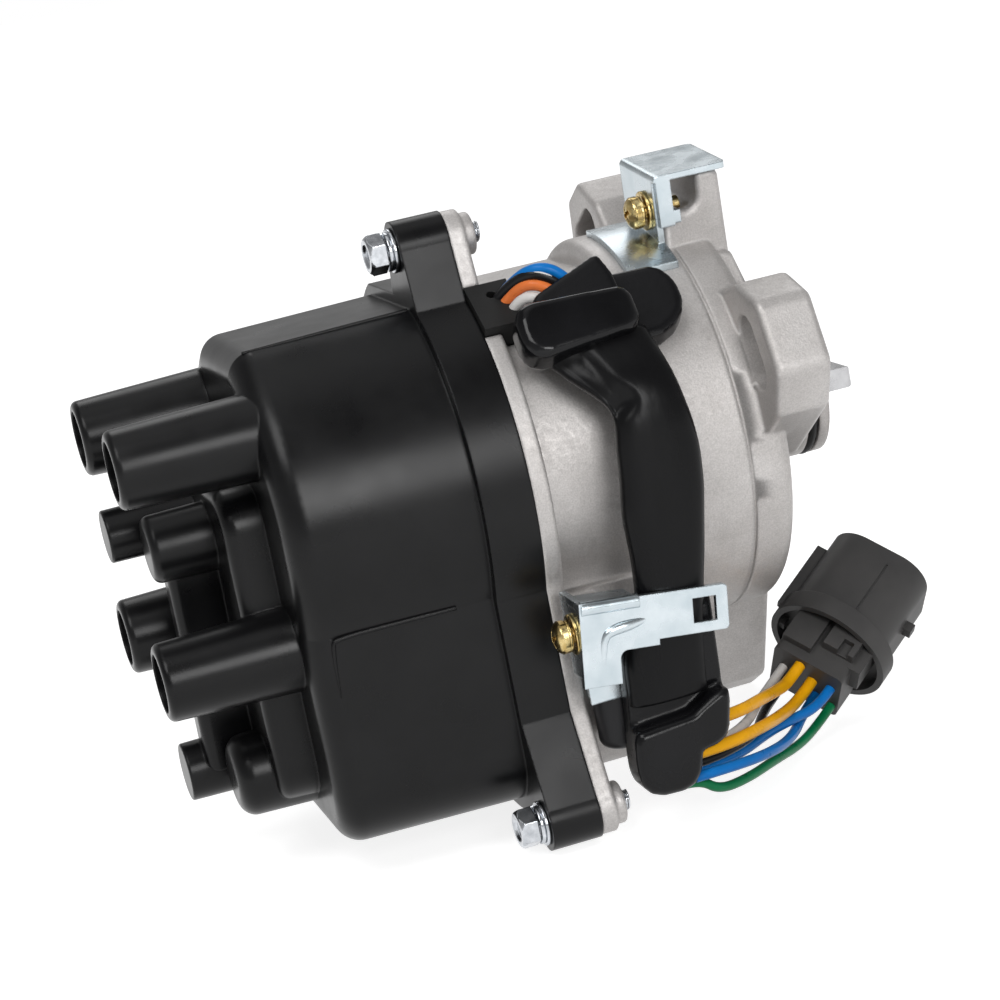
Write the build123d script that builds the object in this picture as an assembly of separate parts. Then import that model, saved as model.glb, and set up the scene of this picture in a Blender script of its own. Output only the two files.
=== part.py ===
"""Four-cylinder ignition distributor with its coil inside, driven by a camshaft.

+X runs along the shaft from the cap to the engine, +Z is up, and +Y points away from the side that
carries the harness. The origin is the centre of the mounting face, where the pilot collar starts.
"""
import os
from math import atan2, cos, degrees, hypot, pi, radians, sin, tan

from build123d import *

# Driving dimensions, in millimetres
BODY_R = 45.5            # round part of the cap and the housing
LOBE_HALF = 40.8         # half the width of the square lobe that holds the coil
LOBE_DEPTH = 70.0        # from the shaft down to the lobe's bottom
LOBE_CORNER = 14.0
TOP_FLAT = 42.0          # height of the flat on the round part
SEAM_X = -68.0           # where the cap meets the housing
WALL = 3.0

CAP_BAND_X = -79.5       # the cap's flange band ends here
CAP_END_X = -122.0       # the cap's end face
CAP_EDGE_R = 6.0
BAND_LIP = 2.5           # how far the flange stands proud of the body
PLATEAU_H = 9.0
PLATEAU = (-22.0, 20.0, -60.0, 12.0)
TOWER_PITCH = 24.0       # each tower is this far from the shaft along Y and along Z
TOWER_TIP_X = -152.0
TOWER_R = 8.75
TOWER_ROOT_R = 9.7
TOWER_BORE_R = 6.65
TOWER_BORE_L = 20.0
SOCKET_R = 4.0
CENTRE_BOSS = (7.75, -145.5, (0.0, 0.0))
POSTS = [(6.15, -152.0, (16.0, 2.0)), (6.75, -147.0, (9.4, -55.0))]
COIL_BOSS = (9.3, -139.0, (-8.0, -54.0))
RIB_W = 9.5
RIB_TOP_X = -142.5

EAR_SPOTS = [(-14.0, 55.0), (-46.0, -71.0), (52.0, -18.0)]
EAR_ROOTS = [(-14.0, 34.0), (-30.0, -50.0), (34.0, -12.0)]
EAR_R = 6.4
EAR_T = 11.5
CAP_SCREW_R = 2.5
CAP_SCREW_TIP_X = -60.0
HEX_AF = 8.0
HEX_H = 4.0
FLAT_WASHER_T = 1.0
SPRING_WASHER_T = 1.3
SCREW_CLEAR = 0.25       # radial room round a screw in a plain hole
SEAL_T = 1.2
SEAL_W = 2.0

FLANGE_T = 4.0           # the housing's cap flange
FLANGE_BOSS_T = 6.5
HOUSING_WALL = 4.0
HOUSING_INSET = 1.5      # the housing body is this much smaller than the cap
CAVITY_FLOOR_X = -40.0
LOBE_END_X = -36.0
BASE_R = 46.0
BASE_X = (-36.0, -7.5)
BASE_EDGE_R = 3.0
PARTING_X = -17.5        # the mould's parting groove round the base
REAR_BOSS_R = 22.0
# Each mounting ear: its angle, its slot's radius, its thickness and half its width
MOUNTS = [(157.0, 50.0, 13.0, 15.5), (62.0, 49.0, 24.0, 13.0), (-66.0, 72.5, 18.0, 12.0)]
SLOT_W = 9.0
SLOT_L = 17.0
MOUNT_EDGE = 6.8
COLLAR_R = 16.0
COLLAR_L = 14.5
GROOVE_X = 10.6
COLLAR_RECESS = (6.0, 12.2)     # where the recess for the coupling starts, and its radius
O_RING_D = 2.4
O_RING_PROUD = 0.15

TOP_LEAN = 8.0           # the top block and its bracket lean this far towards the harness side
BLOCK = (-19.0, -4.2, -13.0, 7.0, 30.0, 60.0)   # top block before it leans: X, Y and Z limits
BLOCK_FOOT_H = 11.0
NOTCH_W = 6.0
NOTCH_DEPTH = 8.0
NOTCH_X = -13.0

SHAFT_R = 5.0
SHAFT_X = (-90.0, 13.0)
RUN_CLEAR = 0.05         # radial running clearance
BEARING_R = 13.0
BEARING_X = (-36.0, -28.0)
BALL_R = 2.4
BALL_COUNT = 8
BALL_PITCH_R = 9.0
RACE_T = 2.1
SEAL_X = (-27.0, -21.0)
SEAL_R = 11.0
BUSH_R = 7.0
BUSH_X = (-9.0, 4.0)
THROUGH_R = 6.2

COUPLING_R = 11.0
COUPLING_X = (6.8, 14.0)
TANG_TIP_X = 24.5
TANG_T = 5.0
TANG_W = 15.0
TANG_OFFSET = 0.6
PIN_R = 2.0
PIN_RING_R = 0.8

ROTOR_DISC_X = (-99.0, -94.0)
ROTOR_HUB_R = 9.0
ROTOR_HUB_X = -80.0
BLADE_T = 1.2
BLADE_W = 8.0
SPARK_GAP = 0.8
TERMINAL_R = 3.5
TERMINAL_END_X = -93.0
BRUSH_R = 2.5
BRUSH_X = -112.0
BRUSH_GUIDE_R = 6.0
BRUSH_GUIDE_X = -106.0
LEAD_X = (-123.0, -121.0)
LEAD_W = 5.0
SPRING_WIRE_R = 0.3
SPRING_TURNS = 4

RELUCTOR_R = 14.0
RELUCTOR_T = 3.0
RELUCTOR_X = [-60.0, -55.0, -50.0]
RELUCTOR_TEETH = [4, 8, 24]
PICKUP_GAP = 0.6
PICKUP_ANGLES = [90.0, 210.0, 330.0]
PICKUP_L = 9.0
PICKUP_W = 11.0
SENSOR_PLATE_R = 29.0
SENSOR_PLATE_T = 2.0
SHIELD_R = 38.0
SHIELD_T = 1.5
POST_R = 4.0
POST_AT_R = 35.5
POST_ANGLES = [20.0, 160.0, 100.0]

COIL = (-112.0, -76.0, -27.0, 27.0, -64.0, -41.0)
CORE_Z = (-58.0, -47.0)
CORE_X = (-99.0, -66.0)
CORE_Y = 35.0
CORE_BAR = 9.0
COIL_POST_R = 4.0
IGNITER = (-58.0, -40.0, -24.0, 24.0, -62.0, -46.0)
INNER_SCREW_R = 1.5

SHEET_T = 1.5            # thickness of both brackets
LOWER_X = (-66.5, -33.0)
LOWER_Y = -61.0          # outer face of the lower bracket's plate
LOWER_TOP_Z = -21.0
LOWER_TILT = 6.5
LOWER_LEG = (8.5, 18.5)
LOWER_STEP_L = 17.5
LIP_L = 13.0
ARM_H = 10.0
ARM_STEP = 1.3
WINDOW = 5.4
LIP_W = 9.0
LOWER_SCREW = (-53.0, -29.2)
BRACKET_BOSS_R = 4.4
BRACKET_BOSS_L = 8.0
BRACKET_SCREW_R = 2.0
BRACKET_HEAD_R = 3.9

FOOT_L = 10.5
FOOT_Y = (-20.0, 6.0)
SIDE_Z = 49.5            # the side flange's lower end
SIDE_W = 4.0
UPPER_SCREW = (-7.0, 52.3)

CONDENSER_R = 5.3
CONDENSER_AT = (-57.7, -44.7)
CONDENSER_Z = (-59.0, -39.0)
STRAP_T = 0.8

GROMMET_ANGLE = 125.0
GROMMET = (-67.8, -58.0, 38.0, 49.5, 14.0)     # X limits, radial limits, width
# The upper boot's block, its mouth slab and its tail: angle, X limits, radial limits, limits across
BOOT_BLOCK = (144.0, -63.0, -38.0, 50.6, 60.3, -8.1, 5.5)
BOOT_SLAB = (132.0, -50.5, -38.5, 46.6, 58.0, -7.0, 7.0)
BOOT_TAIL = (137.0, -42.0, -24.5, 46.4, 51.8, -8.5, 9.0)
SLEEVE_W = 16.0
SLEEVE_T = 8.0
SLEEVE_LINE = [(-46.6, 26.9), (-53.2, 19.5), (-55.0, -8.0), (-55.3, -52.0)]
SLEEVE_X = -41.0
SLEEVE_LEAN = 8.0
LOWER_BOOT = (-59.3, -41.5, -62.0, -50.6, -69.3, -46.0)
LOWER_HOOD = (-52.0, -36.1, -62.0, -50.6, -59.2, -46.0)
BOOT_DRIFT = 0.155       # the lower boot's sides run this much towards the cap for each millimetre down

LEAD_R = 1.15
CONNECTOR_REAR = Vector(-5.1, -21.3, -64.4)
CONNECTOR_AXIS = Vector(0.80, 0.40, 0.45).normalized()
CONNECTOR_TURN = Vector(0.597, -0.606, -0.527)
CONNECTOR_L = 35.0
CONNECTOR_W = 25.0
CONNECTOR_WALL = 2.0
SKIRT_R = 15.0
SKIRT_X = (10.0, 15.0)   # the skirt's limits along the connector


def across(x):
    """The plane square to the shaft at x, whose own axes are +Y and +Z."""
    return Plane(origin=(x, 0, 0), x_dir=(0, 1, 0), z_dir=(1, 0, 0))


def along(section, x0, x1, taper=0):
    """A section in Y and Z run along the shaft from x0 to x1."""
    return extrude(across(x0) * section, amount=x1 - x0, taper=taper)


def rod(r, x0, x1, at=(0, 0)):
    return along(Pos(*at) * Circle(r), x0, x1)


def ring(r_out, r_in, x0, x1, at=(0, 0)):
    return along(Pos(*at) * (Circle(r_out) - Circle(r_in)), x0, x1)


def block(x0, x1, y0, y1, z0, z1):
    return Pos((x0 + x1) / 2, (y0 + y1) / 2, (z0 + z1) / 2) * Box(x1 - x0, y1 - y0, z1 - z0)


def turned(points, at=(0, 0)):
    """A turned solid about a line along X. Each point is (x, radius)."""
    profile = make_face(Polyline(*points, close=True))
    return Pos(0, *at) * revolve(profile, Axis.X)


def polar(r, angle):
    """The point in Y and Z at a radius and an angle from +Y towards +Z."""
    return (r * cos(radians(angle)), r * sin(radians(angle)))


def body_section(grow=0.0):
    """The outline that cap and housing share: a circle with a flat top and a square-cornered lobe."""
    depth = LOBE_DEPTH + grow
    lobe = Pos(0, -depth / 2) * RectangleRounded(2 * (LOBE_HALF + grow), depth, LOBE_CORNER + grow)
    above = Pos(0, TOP_FLAT + grow + BODY_R) * Rectangle(4 * BODY_R, 2 * BODY_R)
    return Circle(BODY_R + grow) + lobe - above


def lug(spot, root, r):
    """A round ear at spot on a web that widens towards root."""
    run = Vector(*root) - Vector(*spot)
    side = Vector(-run.Y, run.X).normalized()
    near, far = Vector(*spot), Vector(*root)
    wide = r + run.length * 0.25
    web = Polygon(
        *[(p.X, p.Y) for p in (near - side * r, far - side * wide, far + side * wide, near + side * r)],
        align=None,
    )
    return Pos(*spot) * Circle(r) + web


def lugs(r):
    shapes = [lug(spot, root, r) for spot, root in zip(EAR_SPOTS, EAR_ROOTS)]
    return shapes[0] + shapes[1] + shapes[2]


def tower_spots():
    return [(y * TOWER_PITCH, z * TOWER_PITCH) for y in (-1, 1) for z in (-1, 1)]


def solids_of(shapes):
    return Compound(children=[s for shape in shapes for s in shape.solids()])


# Cap
def distributor_cap():
    """Moulded cap: towers, bosses and rib on the end face of a shell with a flange band and ears."""
    shell = along(body_section(-0.8), CAP_END_X, CAP_BAND_X + 1, taper=-1)
    end_edges = shell.faces().sort_by(Axis.X)[0].edges()
    shell = fillet(end_edges, CAP_EDGE_R)
    band = along(body_section(BAND_LIP), CAP_BAND_X, SEAM_X)
    ears = along(lugs(EAR_R), SEAM_X - EAR_T, SEAM_X)
    y0, y1, z0, z1 = PLATEAU
    raised = Pos((y0 + y1) / 2, (z0 + z1) / 2) * RectangleRounded(y1 - y0, z1 - z0, 9)
    plateau = along(raised, CAP_END_X - PLATEAU_H, CAP_END_X + CAP_EDGE_R, taper=-3)
    plateau = fillet(plateau.faces().sort_by(Axis.X)[0].edges(), 3)
    cap = shell + band + ears + plateau

    for at in tower_spots():
        cap += turned_post(TOWER_R, TOWER_ROOT_R, TOWER_TIP_X, at, 1.5)
    r, tip, at = CENTRE_BOSS
    cap += turned_post(r, r + 0.5, tip, at, 2.0)
    for r, tip, at in POSTS:
        cap += turned_post(r, r + 0.4, tip, at, 0.5)
    r, tip, at = COIL_BOSS
    cap += turned_post(r, r + 0.5, tip, at, 4.0)
    cap += rib()

    inside = along(body_section(-WALL - 0.8), CAP_END_X + WALL, SEAM_X)
    rim_inside = along(body_section(-WALL), CAP_BAND_X - 4, SEAM_X)
    cap -= inside + rim_inside
    cap += rod(BRUSH_GUIDE_R, CAP_END_X + WALL - 0.5, BRUSH_GUIDE_X)
    cap -= along(seal_section(0.1), SEAM_X - SEAL_T, SEAM_X)
    for at in EAR_SPOTS:
        cap -= rod(CAP_SCREW_R + SCREW_CLEAR, SEAM_X - EAR_T, SEAM_X, at)
    for at in tower_spots():
        bottom = TOWER_TIP_X + TOWER_BORE_L
        cap -= rod(TOWER_BORE_R, TOWER_TIP_X, bottom, at)
        cap -= rod(SOCKET_R, bottom, bottom + 6, at)
    cap -= tower_terminals()
    cap -= rod(BRUSH_R + RUN_CLEAR, LEAD_X[1], BRUSH_GUIDE_X)
    cap -= coil_lead_bar()
    cap -= rod(COIL_POST_R + 0.3, LEAD_X[1], CAP_END_X + WALL, COIL_BOSS[2])
    return cap


def turned_post(r, root_r, tip_x, at, edge):
    """A tapered round post on the cap's end face, with a rounded tip."""
    foot_x = CAP_END_X + WALL - 0.5
    post = turned([(foot_x, 0), (tip_x, 0), (tip_x, r), (foot_x, root_r)], at)
    return fillet(post.edges().sort_by(Axis.X)[0], edge)


def rib():
    """The raised web that carries the lead from the coil boss to the centre boss."""
    top, low = Vector(2, 0), Vector(6, -54)
    run = low - top
    middle = (top + low) / 2
    angle = degrees(atan2(run.Y, run.X))
    bar = Pos(middle.X, middle.Y) * Rot(0, 0, angle) * Rectangle(run.length, RIB_W)
    web = along(bar, RIB_TOP_X, CAP_END_X + 1)
    return fillet(web.faces().sort_by(Axis.X)[0].edges(), 2.5)


def seal_section(room=0.0):
    return body_section(-0.2 + room) - body_section(-0.2 - SEAL_W - room)


def cap_seal():
    return along(seal_section(), SEAM_X - SEAL_T, SEAM_X)


def cap_screws():
    head_x = SEAM_X - EAR_T - FLAT_WASHER_T - SPRING_WASHER_T
    screws = []
    for at in EAR_SPOTS:
        hexagon = RegularPolygon(HEX_AF / 2, 6, major_radius=False)
        head = along(Pos(*at) * hexagon, head_x - HEX_H, head_x)
        crown = turned([(head_x - HEX_H, 0), (head_x - HEX_H, HEX_AF / 2 - 0.3),
                        (head_x, HEX_AF / 2 + 1.6), (head_x, 0)], at)
        head = head & crown
        head -= rod(HEX_AF / 2 - 1.2, head_x - HEX_H, head_x - HEX_H + 0.7, at)
        screws.append(head + rod(CAP_SCREW_R, head_x, CAP_SCREW_TIP_X, at))
    return solids_of(screws)


def cap_spring_washers():
    x1 = SEAM_X - EAR_T - FLAT_WASHER_T
    return solids_of([split_washer(CAP_SCREW_R, x1 - SPRING_WASHER_T, x1, at) for at in EAR_SPOTS])


def cap_flat_washers():
    x1 = SEAM_X - EAR_T
    return solids_of([ring(2 * CAP_SCREW_R, CAP_SCREW_R + 0.15, x1 - FLAT_WASHER_T, x1, at) for at in EAR_SPOTS])


def split_washer(r, x0, x1, at):
    """A spring washer for a screw of radius r, with its split."""
    slit = block(x0, x1, at[0], at[0] + 2 * r, at[1] - 0.3, at[1] + 0.3)
    return ring(1.75 * r, r + 0.1, x0, x1, at) - slit


def tower_terminals():
    """A turned terminal for each tower, whose head stands in the socket under the wire's bore."""
    head_x = TOWER_TIP_X + TOWER_BORE_L + 2
    neck_x = head_x + 4
    shapes = []
    for at in tower_spots():
        shapes.append(turned([(head_x, 0), (head_x, 2.6), (head_x + 1.5, 3.2), (neck_x, 3.2), (neck_x, 2.0),
                              (CAP_END_X + WALL, 2.0), (CAP_END_X + WALL, TERMINAL_R),
                              (TERMINAL_END_X, TERMINAL_R), (TERMINAL_END_X, 0)], at))
    return solids_of(shapes)


def coil_lead_bar():
    """The strip moulded into the cap from the coil's post to the brush."""
    low = Vector(*COIL_BOSS[2])
    angle = degrees(atan2(low.Y, low.X))
    strip = Pos(low.X / 2, low.Y / 2) * Rot(0, 0, angle) * SlotOverall(low.length + LEAD_W, LEAD_W)
    return along(strip, *LEAD_X)


def blade_face_x():
    return ROTOR_DISC_X[0] - BLADE_T


def carbon_brush():
    tip_x = blade_face_x() - RUN_CLEAR
    brush = rod(BRUSH_R, BRUSH_X, tip_x)
    return fillet(brush.faces().sort_by(Axis.X)[-1].edges(), 0.6)


def brush_spring():
    length = BRUSH_X - LEAD_X[1]
    coil_r = BRUSH_R - SPRING_WIRE_R - 0.3
    turns_l = length - 2 * SPRING_WIRE_R
    line = Helix(pitch=turns_l / SPRING_TURNS, height=turns_l, radius=coil_r)
    wire = sweep(Plane(line @ 0, z_dir=line % 0) * Circle(SPRING_WIRE_R), path=line)
    return Pos(LEAD_X[1] + SPRING_WIRE_R, 0, 0) * Rot(0, 90, 0) * wire


# Rotor
def rotor_arm():
    x0, x1 = ROTOR_DISC_X
    arm_l = blade_reach() - 3
    arm = Circle(14) + Pos(arm_l / 2, 0) * Rectangle(arm_l, 14) + Pos(-7, 0) * Rectangle(18, 12)
    rotor = along(arm, x0, x1) + rod(ROTOR_HUB_R, x1 - 0.5, ROTOR_HUB_X)
    rotor += along(Pos(arm_l / 2, 0) * Rectangle(arm_l, 3), x1, x1 + 6)
    rotor -= rod(SHAFT_R, SHAFT_X[0], ROTOR_HUB_X)
    rotor -= rotor_screw()
    return rotor


def blade_reach():
    """The blade's tip radius: a spark gap short of the terminals."""
    return hypot(TOWER_PITCH, TOWER_PITCH) - TERMINAL_R - SPARK_GAP


def rotor_blade():
    x0 = blade_face_x()
    tip = blade_reach()
    strip = Pos(tip / 2, 0) * Rectangle(tip, BLADE_W) + Circle(BLADE_W / 2)
    blade = along(strip, x0, ROTOR_DISC_X[0])
    return blade + along(Pos(tip - 0.6, 0) * Rectangle(1.2, BLADE_W), x0, x0 + 5)


def rotor_screw():
    """The grub screw that holds the rotor's hub on the shaft."""
    x = (ROTOR_DISC_X[1] + ROTOR_HUB_X) / 2
    return Pos(x, 0, (SHAFT_R + ROTOR_HUB_R) / 2) * Cylinder(2, ROTOR_HUB_R - SHAFT_R - 0.4)


def dust_shield():
    plate = ring(SHIELD_R, SHAFT_R + 3, SEAM_X - SHIELD_T, SEAM_X)
    plate += ring(SHAFT_R + 5, SHAFT_R + 3, SEAM_X - 4, SEAM_X)
    for angle in POST_ANGLES:
        plate -= rod(INNER_SCREW_R, SEAM_X - SHIELD_T, SEAM_X, polar(POST_AT_R - 1.5, angle))
    return plate


# Housing
def mount_section(angle, slot_r, half):
    """A mounting ear: a plate round its slot, with blunt corners, that widens towards the base."""
    edge = slot_r + SLOT_W / 2 + MOUNT_EDGE
    outline = Polygon((25, -half - 4), (edge - 9, -half), (edge, -half + 7.5),
                      (edge, half - 7.5), (edge - 9, half), (25, half + 4), align=None)
    corners = outline.vertices().filter_by(lambda v: v.X > 26)
    return Rot(0, 0, angle) * fillet(corners, 4)


def mount_slot(angle, slot_r):
    return Rot(0, 0, angle) * Pos(slot_r, 0) * Rot(0, 0, 90) * SlotOverall(SLOT_L, SLOT_W)


def grommet_box(room=0.0):
    x0, x1, r0, r1, width = GROMMET
    low = block(x0 - 3 * room, x1 + room, r0, r1 + 4 * room, -width / 2 - room, width / 2 + room)
    return Rot(GROMMET_ANGLE, 0, 0) * low


def housing():
    """Cast housing: cap flange, round body with the coil's lobe, base, mounting ears and pilot collar."""
    back_x = SEAM_X + FLANGE_T
    cast = along(body_section(BAND_LIP) + lugs(EAR_R - 0.4), SEAM_X, back_x)
    for at in EAR_SPOTS:
        cast += rod(EAR_R - 1.6, SEAM_X, SEAM_X + FLANGE_BOSS_T, at)
    round_part = body_section(-HOUSING_INSET) & Circle(BODY_R)
    cast += along(round_part, back_x - 1, BASE_X[0] + 1)
    cast += along(body_section(-HOUSING_INSET - 1), back_x - 1, LOBE_END_X)
    base = rod(BASE_R, *BASE_X)
    base = fillet(base.edges().filter_by(GeomType.CIRCLE), BASE_EDGE_R)
    base -= ring(BASE_R + 1, BASE_R - 0.5, PARTING_X - 0.4, PARTING_X + 0.4)
    cast += base
    cast += rod(REAR_BOSS_R, BASE_X[1] - 1, 0)
    for angle, slot_r, thick, half in MOUNTS:
        cast += along(mount_section(angle, slot_r, half), -thick, 0)
    cast += top_block()
    cast += rod(COLLAR_R, -1, COLLAR_L)
    cast += bracket_boss()

    cast -= along(body_section(-HOUSING_INSET - HOUSING_WALL), SEAM_X, CAVITY_FLOOR_X)
    for angle in POST_ANGLES:
        cast += rod(POST_R, SEAM_X, CAVITY_FLOOR_X + 1, polar(POST_AT_R, angle))
        cast -= rod(INNER_SCREW_R, SEAM_X, SEAM_X + 8, polar(POST_AT_R - 1.5, angle))
    for y in (-1, 1):
        at = (y * (CORE_Y - CORE_BAR / 2), sum(CORE_Z) / 2)
        cast += rod(4.2, CORE_X[1], CAVITY_FLOOR_X + 1, at)
        cast -= rod(INNER_SCREW_R, CORE_X[1], CORE_X[1] + 8, at)
    cast -= rod(BEARING_R, CAVITY_FLOOR_X, BEARING_X[1])
    cast -= rod(SEAL_R, BEARING_X[1], SEAL_X[1])
    cast -= rod(THROUGH_R, SEAL_X[1], COLLAR_L)
    cast -= rod(BUSH_R, BUSH_X[0], COLLAR_L)
    cast -= rod(COLLAR_RECESS[1], COLLAR_RECESS[0], COLLAR_L)
    groove_r = COLLAR_R + O_RING_PROUD - O_RING_D
    cast -= ring(COLLAR_R + 1, groove_r, GROOVE_X - O_RING_D / 2 - 0.2, GROOVE_X + O_RING_D / 2 + 0.2)
    for angle, slot_r, thick, half in MOUNTS:
        cast -= along(mount_slot(angle, slot_r), -thick, 0)
    cast -= grommet_box(0.1)
    for at in EAR_SPOTS:
        cast -= rod(CAP_SCREW_R, SEAM_X, SEAM_X + FLANGE_BOSS_T, at)
    cast -= bracket_screws()
    cast -= inner_screws()
    return cast


def top_block():
    """The leaning block on top of the base, with its U notch and a thicker foot."""
    x0, x1, y0, y1, z0, z1 = BLOCK
    bar = block(*BLOCK)
    bar = fillet(bar.edges().filter_by(Axis.Y).group_by(Axis.Z)[-1].sort_by(Axis.X)[-1], 2)
    foot = Polygon((x0, z0), (-0.5, z0), (x1, z0 + BLOCK_FOOT_H), (x0, z0 + BLOCK_FOOT_H), align=None)
    bar += Pos(0, y1, 0) * extrude(Plane.XZ * foot, amount=y1 - y0 + 2)
    bottom = Pos(NOTCH_X, z1 - NOTCH_DEPTH + NOTCH_W / 2) * Circle(NOTCH_W / 2)
    mouth = Pos(NOTCH_X, z1) * Rectangle(NOTCH_W, 2 * (NOTCH_DEPTH - NOTCH_W / 2))
    return Rot(TOP_LEAN, 0, 0) * (bar - extrude(Plane.XZ * (bottom + mouth), amount=BODY_R, both=True))


def bracket_boss():
    """The boss behind the lower bracket's screw, on a web from the body."""
    y, z = LOWER_SCREW
    x0 = SEAM_X + FLANGE_T - 1
    x1 = x0 + 1 + BRACKET_BOSS_L
    boss = rod(BRACKET_BOSS_R, LOWER_X[0] + SHEET_T, x1, LOWER_SCREW)
    return boss + block(x0, x1, y, -LOBE_HALF + 6, z - BRACKET_BOSS_R + 0.4, z + BRACKET_BOSS_R - 0.4)


def shaft():
    pole = rod(SHAFT_R, *SHAFT_X)
    pole = chamfer(pole.edges().filter_by(GeomType.CIRCLE), 0.5)
    return pole - coupling_pin()


def bearing_outer_ring():
    x0, x1 = BEARING_X
    middle = (x0 + x1) / 2
    return ring(BEARING_R, BEARING_R - RACE_T, x0, x1) - race(middle)


def bearing_inner_ring():
    x0, x1 = BEARING_X
    middle = (x0 + x1) / 2
    return ring(SHAFT_R + RACE_T, SHAFT_R, x0, x1) - race(middle)


def race(x):
    """The groove that the balls run in."""
    torus = Torus(BALL_PITCH_R, BALL_R + RUN_CLEAR)
    return Pos(x, 0, 0) * Rot(0, 90, 0) * torus


def ball_spots():
    x = sum(BEARING_X) / 2
    return [(x, *polar(BALL_PITCH_R, 360 * i / BALL_COUNT)) for i in range(BALL_COUNT)]


def bearing_balls():
    return solids_of([Pos(*at) * Sphere(BALL_R) for at in ball_spots()])


def bearing_cage():
    x = sum(BEARING_X) / 2
    cage = ring(BALL_PITCH_R + 0.9, BALL_PITCH_R - 0.9, x - 2.9, x + 2.9)
    for at in ball_spots():
        cage -= Pos(*at) * Sphere(BALL_R + 2 * RUN_CLEAR)
    return cage


def oil_seal():
    x0, x1 = SEAL_X
    lip = SHAFT_R + RUN_CLEAR
    return turned([(x0, SEAL_R), (x1, SEAL_R), (x1, 7.5), (x0 + 2, 7.5), (x1 - 1, lip), (x0 + 1.5, lip), (x0, 7.5)])


def shaft_bush():
    return ring(BUSH_R, SHAFT_R + RUN_CLEAR, *BUSH_X)


def coupling():
    """Drive coupling with its offset tang. It floats on the shaft's pin."""
    x0, x1 = COUPLING_X
    hub = rod(COUPLING_R, x0, x1)
    tang = block(x1 - 1, TANG_TIP_X, -TANG_W / 2, TANG_W / 2, TANG_OFFSET - TANG_T / 2, TANG_OFFSET + TANG_T / 2)
    tang = fillet(tang.faces().sort_by(Axis.X)[-1].edges(), 1.2)
    part = hub + tang
    part -= rod(SHAFT_R, x0, SHAFT_X[1])
    part -= coupling_pin()
    return part - Pos(pin_x(), 0, 0) * Rot(0, 90, 0) * Torus(COUPLING_R, PIN_RING_R)


def pin_x():
    return sum(COUPLING_X) / 2 - 0.5


def coupling_pin():
    return Pos(pin_x(), 0, 0) * Cylinder(PIN_R, 2 * (COUPLING_R - PIN_RING_R - 0.25))


def coupling_spring():
    """The ring of spring wire that keeps the pin in."""
    ring_wire = Pos(pin_x(), 0, 0) * Rot(0, 90, 0) * Torus(COUPLING_R, PIN_RING_R - 0.02)
    return ring_wire - block(pin_x() - 2, pin_x() + 2, COUPLING_R - 3, COUPLING_R + 3, -1, 1)


def o_ring():
    r = O_RING_D / 2
    return Pos(GROOVE_X, 0, 0) * Rot(0, 90, 0) * Torus(COLLAR_R + O_RING_PROUD - r, r)


# Sensing
def reluctor(index):
    """A toothed steel wheel on the shaft."""
    teeth = RELUCTOR_TEETH[index]
    width = RELUCTOR_R * pi / max(teeth, 12)
    wheel = Circle(RELUCTOR_R - 3)
    for i in range(teeth):
        wheel += Rot(0, 0, 360 * i / teeth) * Pos(RELUCTOR_R - 2.5, 0) * Rectangle(5, width)
    wheel &= Circle(RELUCTOR_R)
    x0 = RELUCTOR_X[index]
    wheel_solid = along(wheel, x0, x0 + RELUCTOR_T) + rod(SHAFT_R + 2.5, x0, x0 + RELUCTOR_T + 1)
    return wheel_solid - rod(SHAFT_R, x0, x0 + RELUCTOR_T + 1)


def sensor_plate():
    x1 = CAVITY_FLOOR_X
    return ring(SENSOR_PLATE_R, BEARING_R, x1 - SENSOR_PLATE_T, x1) - inner_screws()


def pickup_coils():
    """A pickup on the sensor plate for each reluctor, with its pole close to the teeth."""
    floor = CAVITY_FLOOR_X - SENSOR_PLATE_T
    r0 = RELUCTOR_R + PICKUP_GAP
    pickups = []
    for x, angle in zip(RELUCTOR_X, PICKUP_ANGLES):
        body = block(x, floor, r0 + 2, r0 + PICKUP_L, -PICKUP_W / 2, PICKUP_W / 2)
        pole = block(x, x + RELUCTOR_T, r0, r0 + 3, -2, 2)
        pickups.append(Rot(angle, 0, 0) * (body + pole))
    return solids_of(pickups)


# Ignition
def ignition_coil():
    body = block(*COIL)
    body = fillet(body.edges().filter_by(Axis.X), 5)
    tower_r = COIL_POST_R + 2
    return body + rod(tower_r, COIL[0] - 3, COIL[0] + 1, COIL_BOSS[2]) - coil_core() - coil_terminal()


def coil_core():
    """Laminated iron frame through and round the coil, on two legs with a screw each."""
    x0, x1 = CORE_X
    frame = block(x0, x1, -CORE_Y, CORE_Y, *CORE_Z)
    frame -= block(x0 + CORE_BAR, x1, -CORE_Y + CORE_BAR, CORE_Y - CORE_BAR, *CORE_Z)
    return frame - inner_screws()


def coil_terminal():
    return rod(COIL_POST_R, LEAD_X[1], COIL[0] + 3, COIL_BOSS[2])


def igniter_module():
    body = block(*IGNITER)
    body = fillet(body.edges().filter_by(Axis.X), 2)
    return body - inner_screws()


def screw(r, head_r, head_h, x_seat, length, at):
    """A round-headed screw along X, with its head on the -X side of its seat."""
    return turned([(x_seat - head_h, 0), (x_seat - head_h, head_r - 0.8), (x_seat - head_h + 0.8, head_r),
                   (x_seat, head_r), (x_seat, r), (x_seat + length, r), (x_seat + length, 0)], at)


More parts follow.
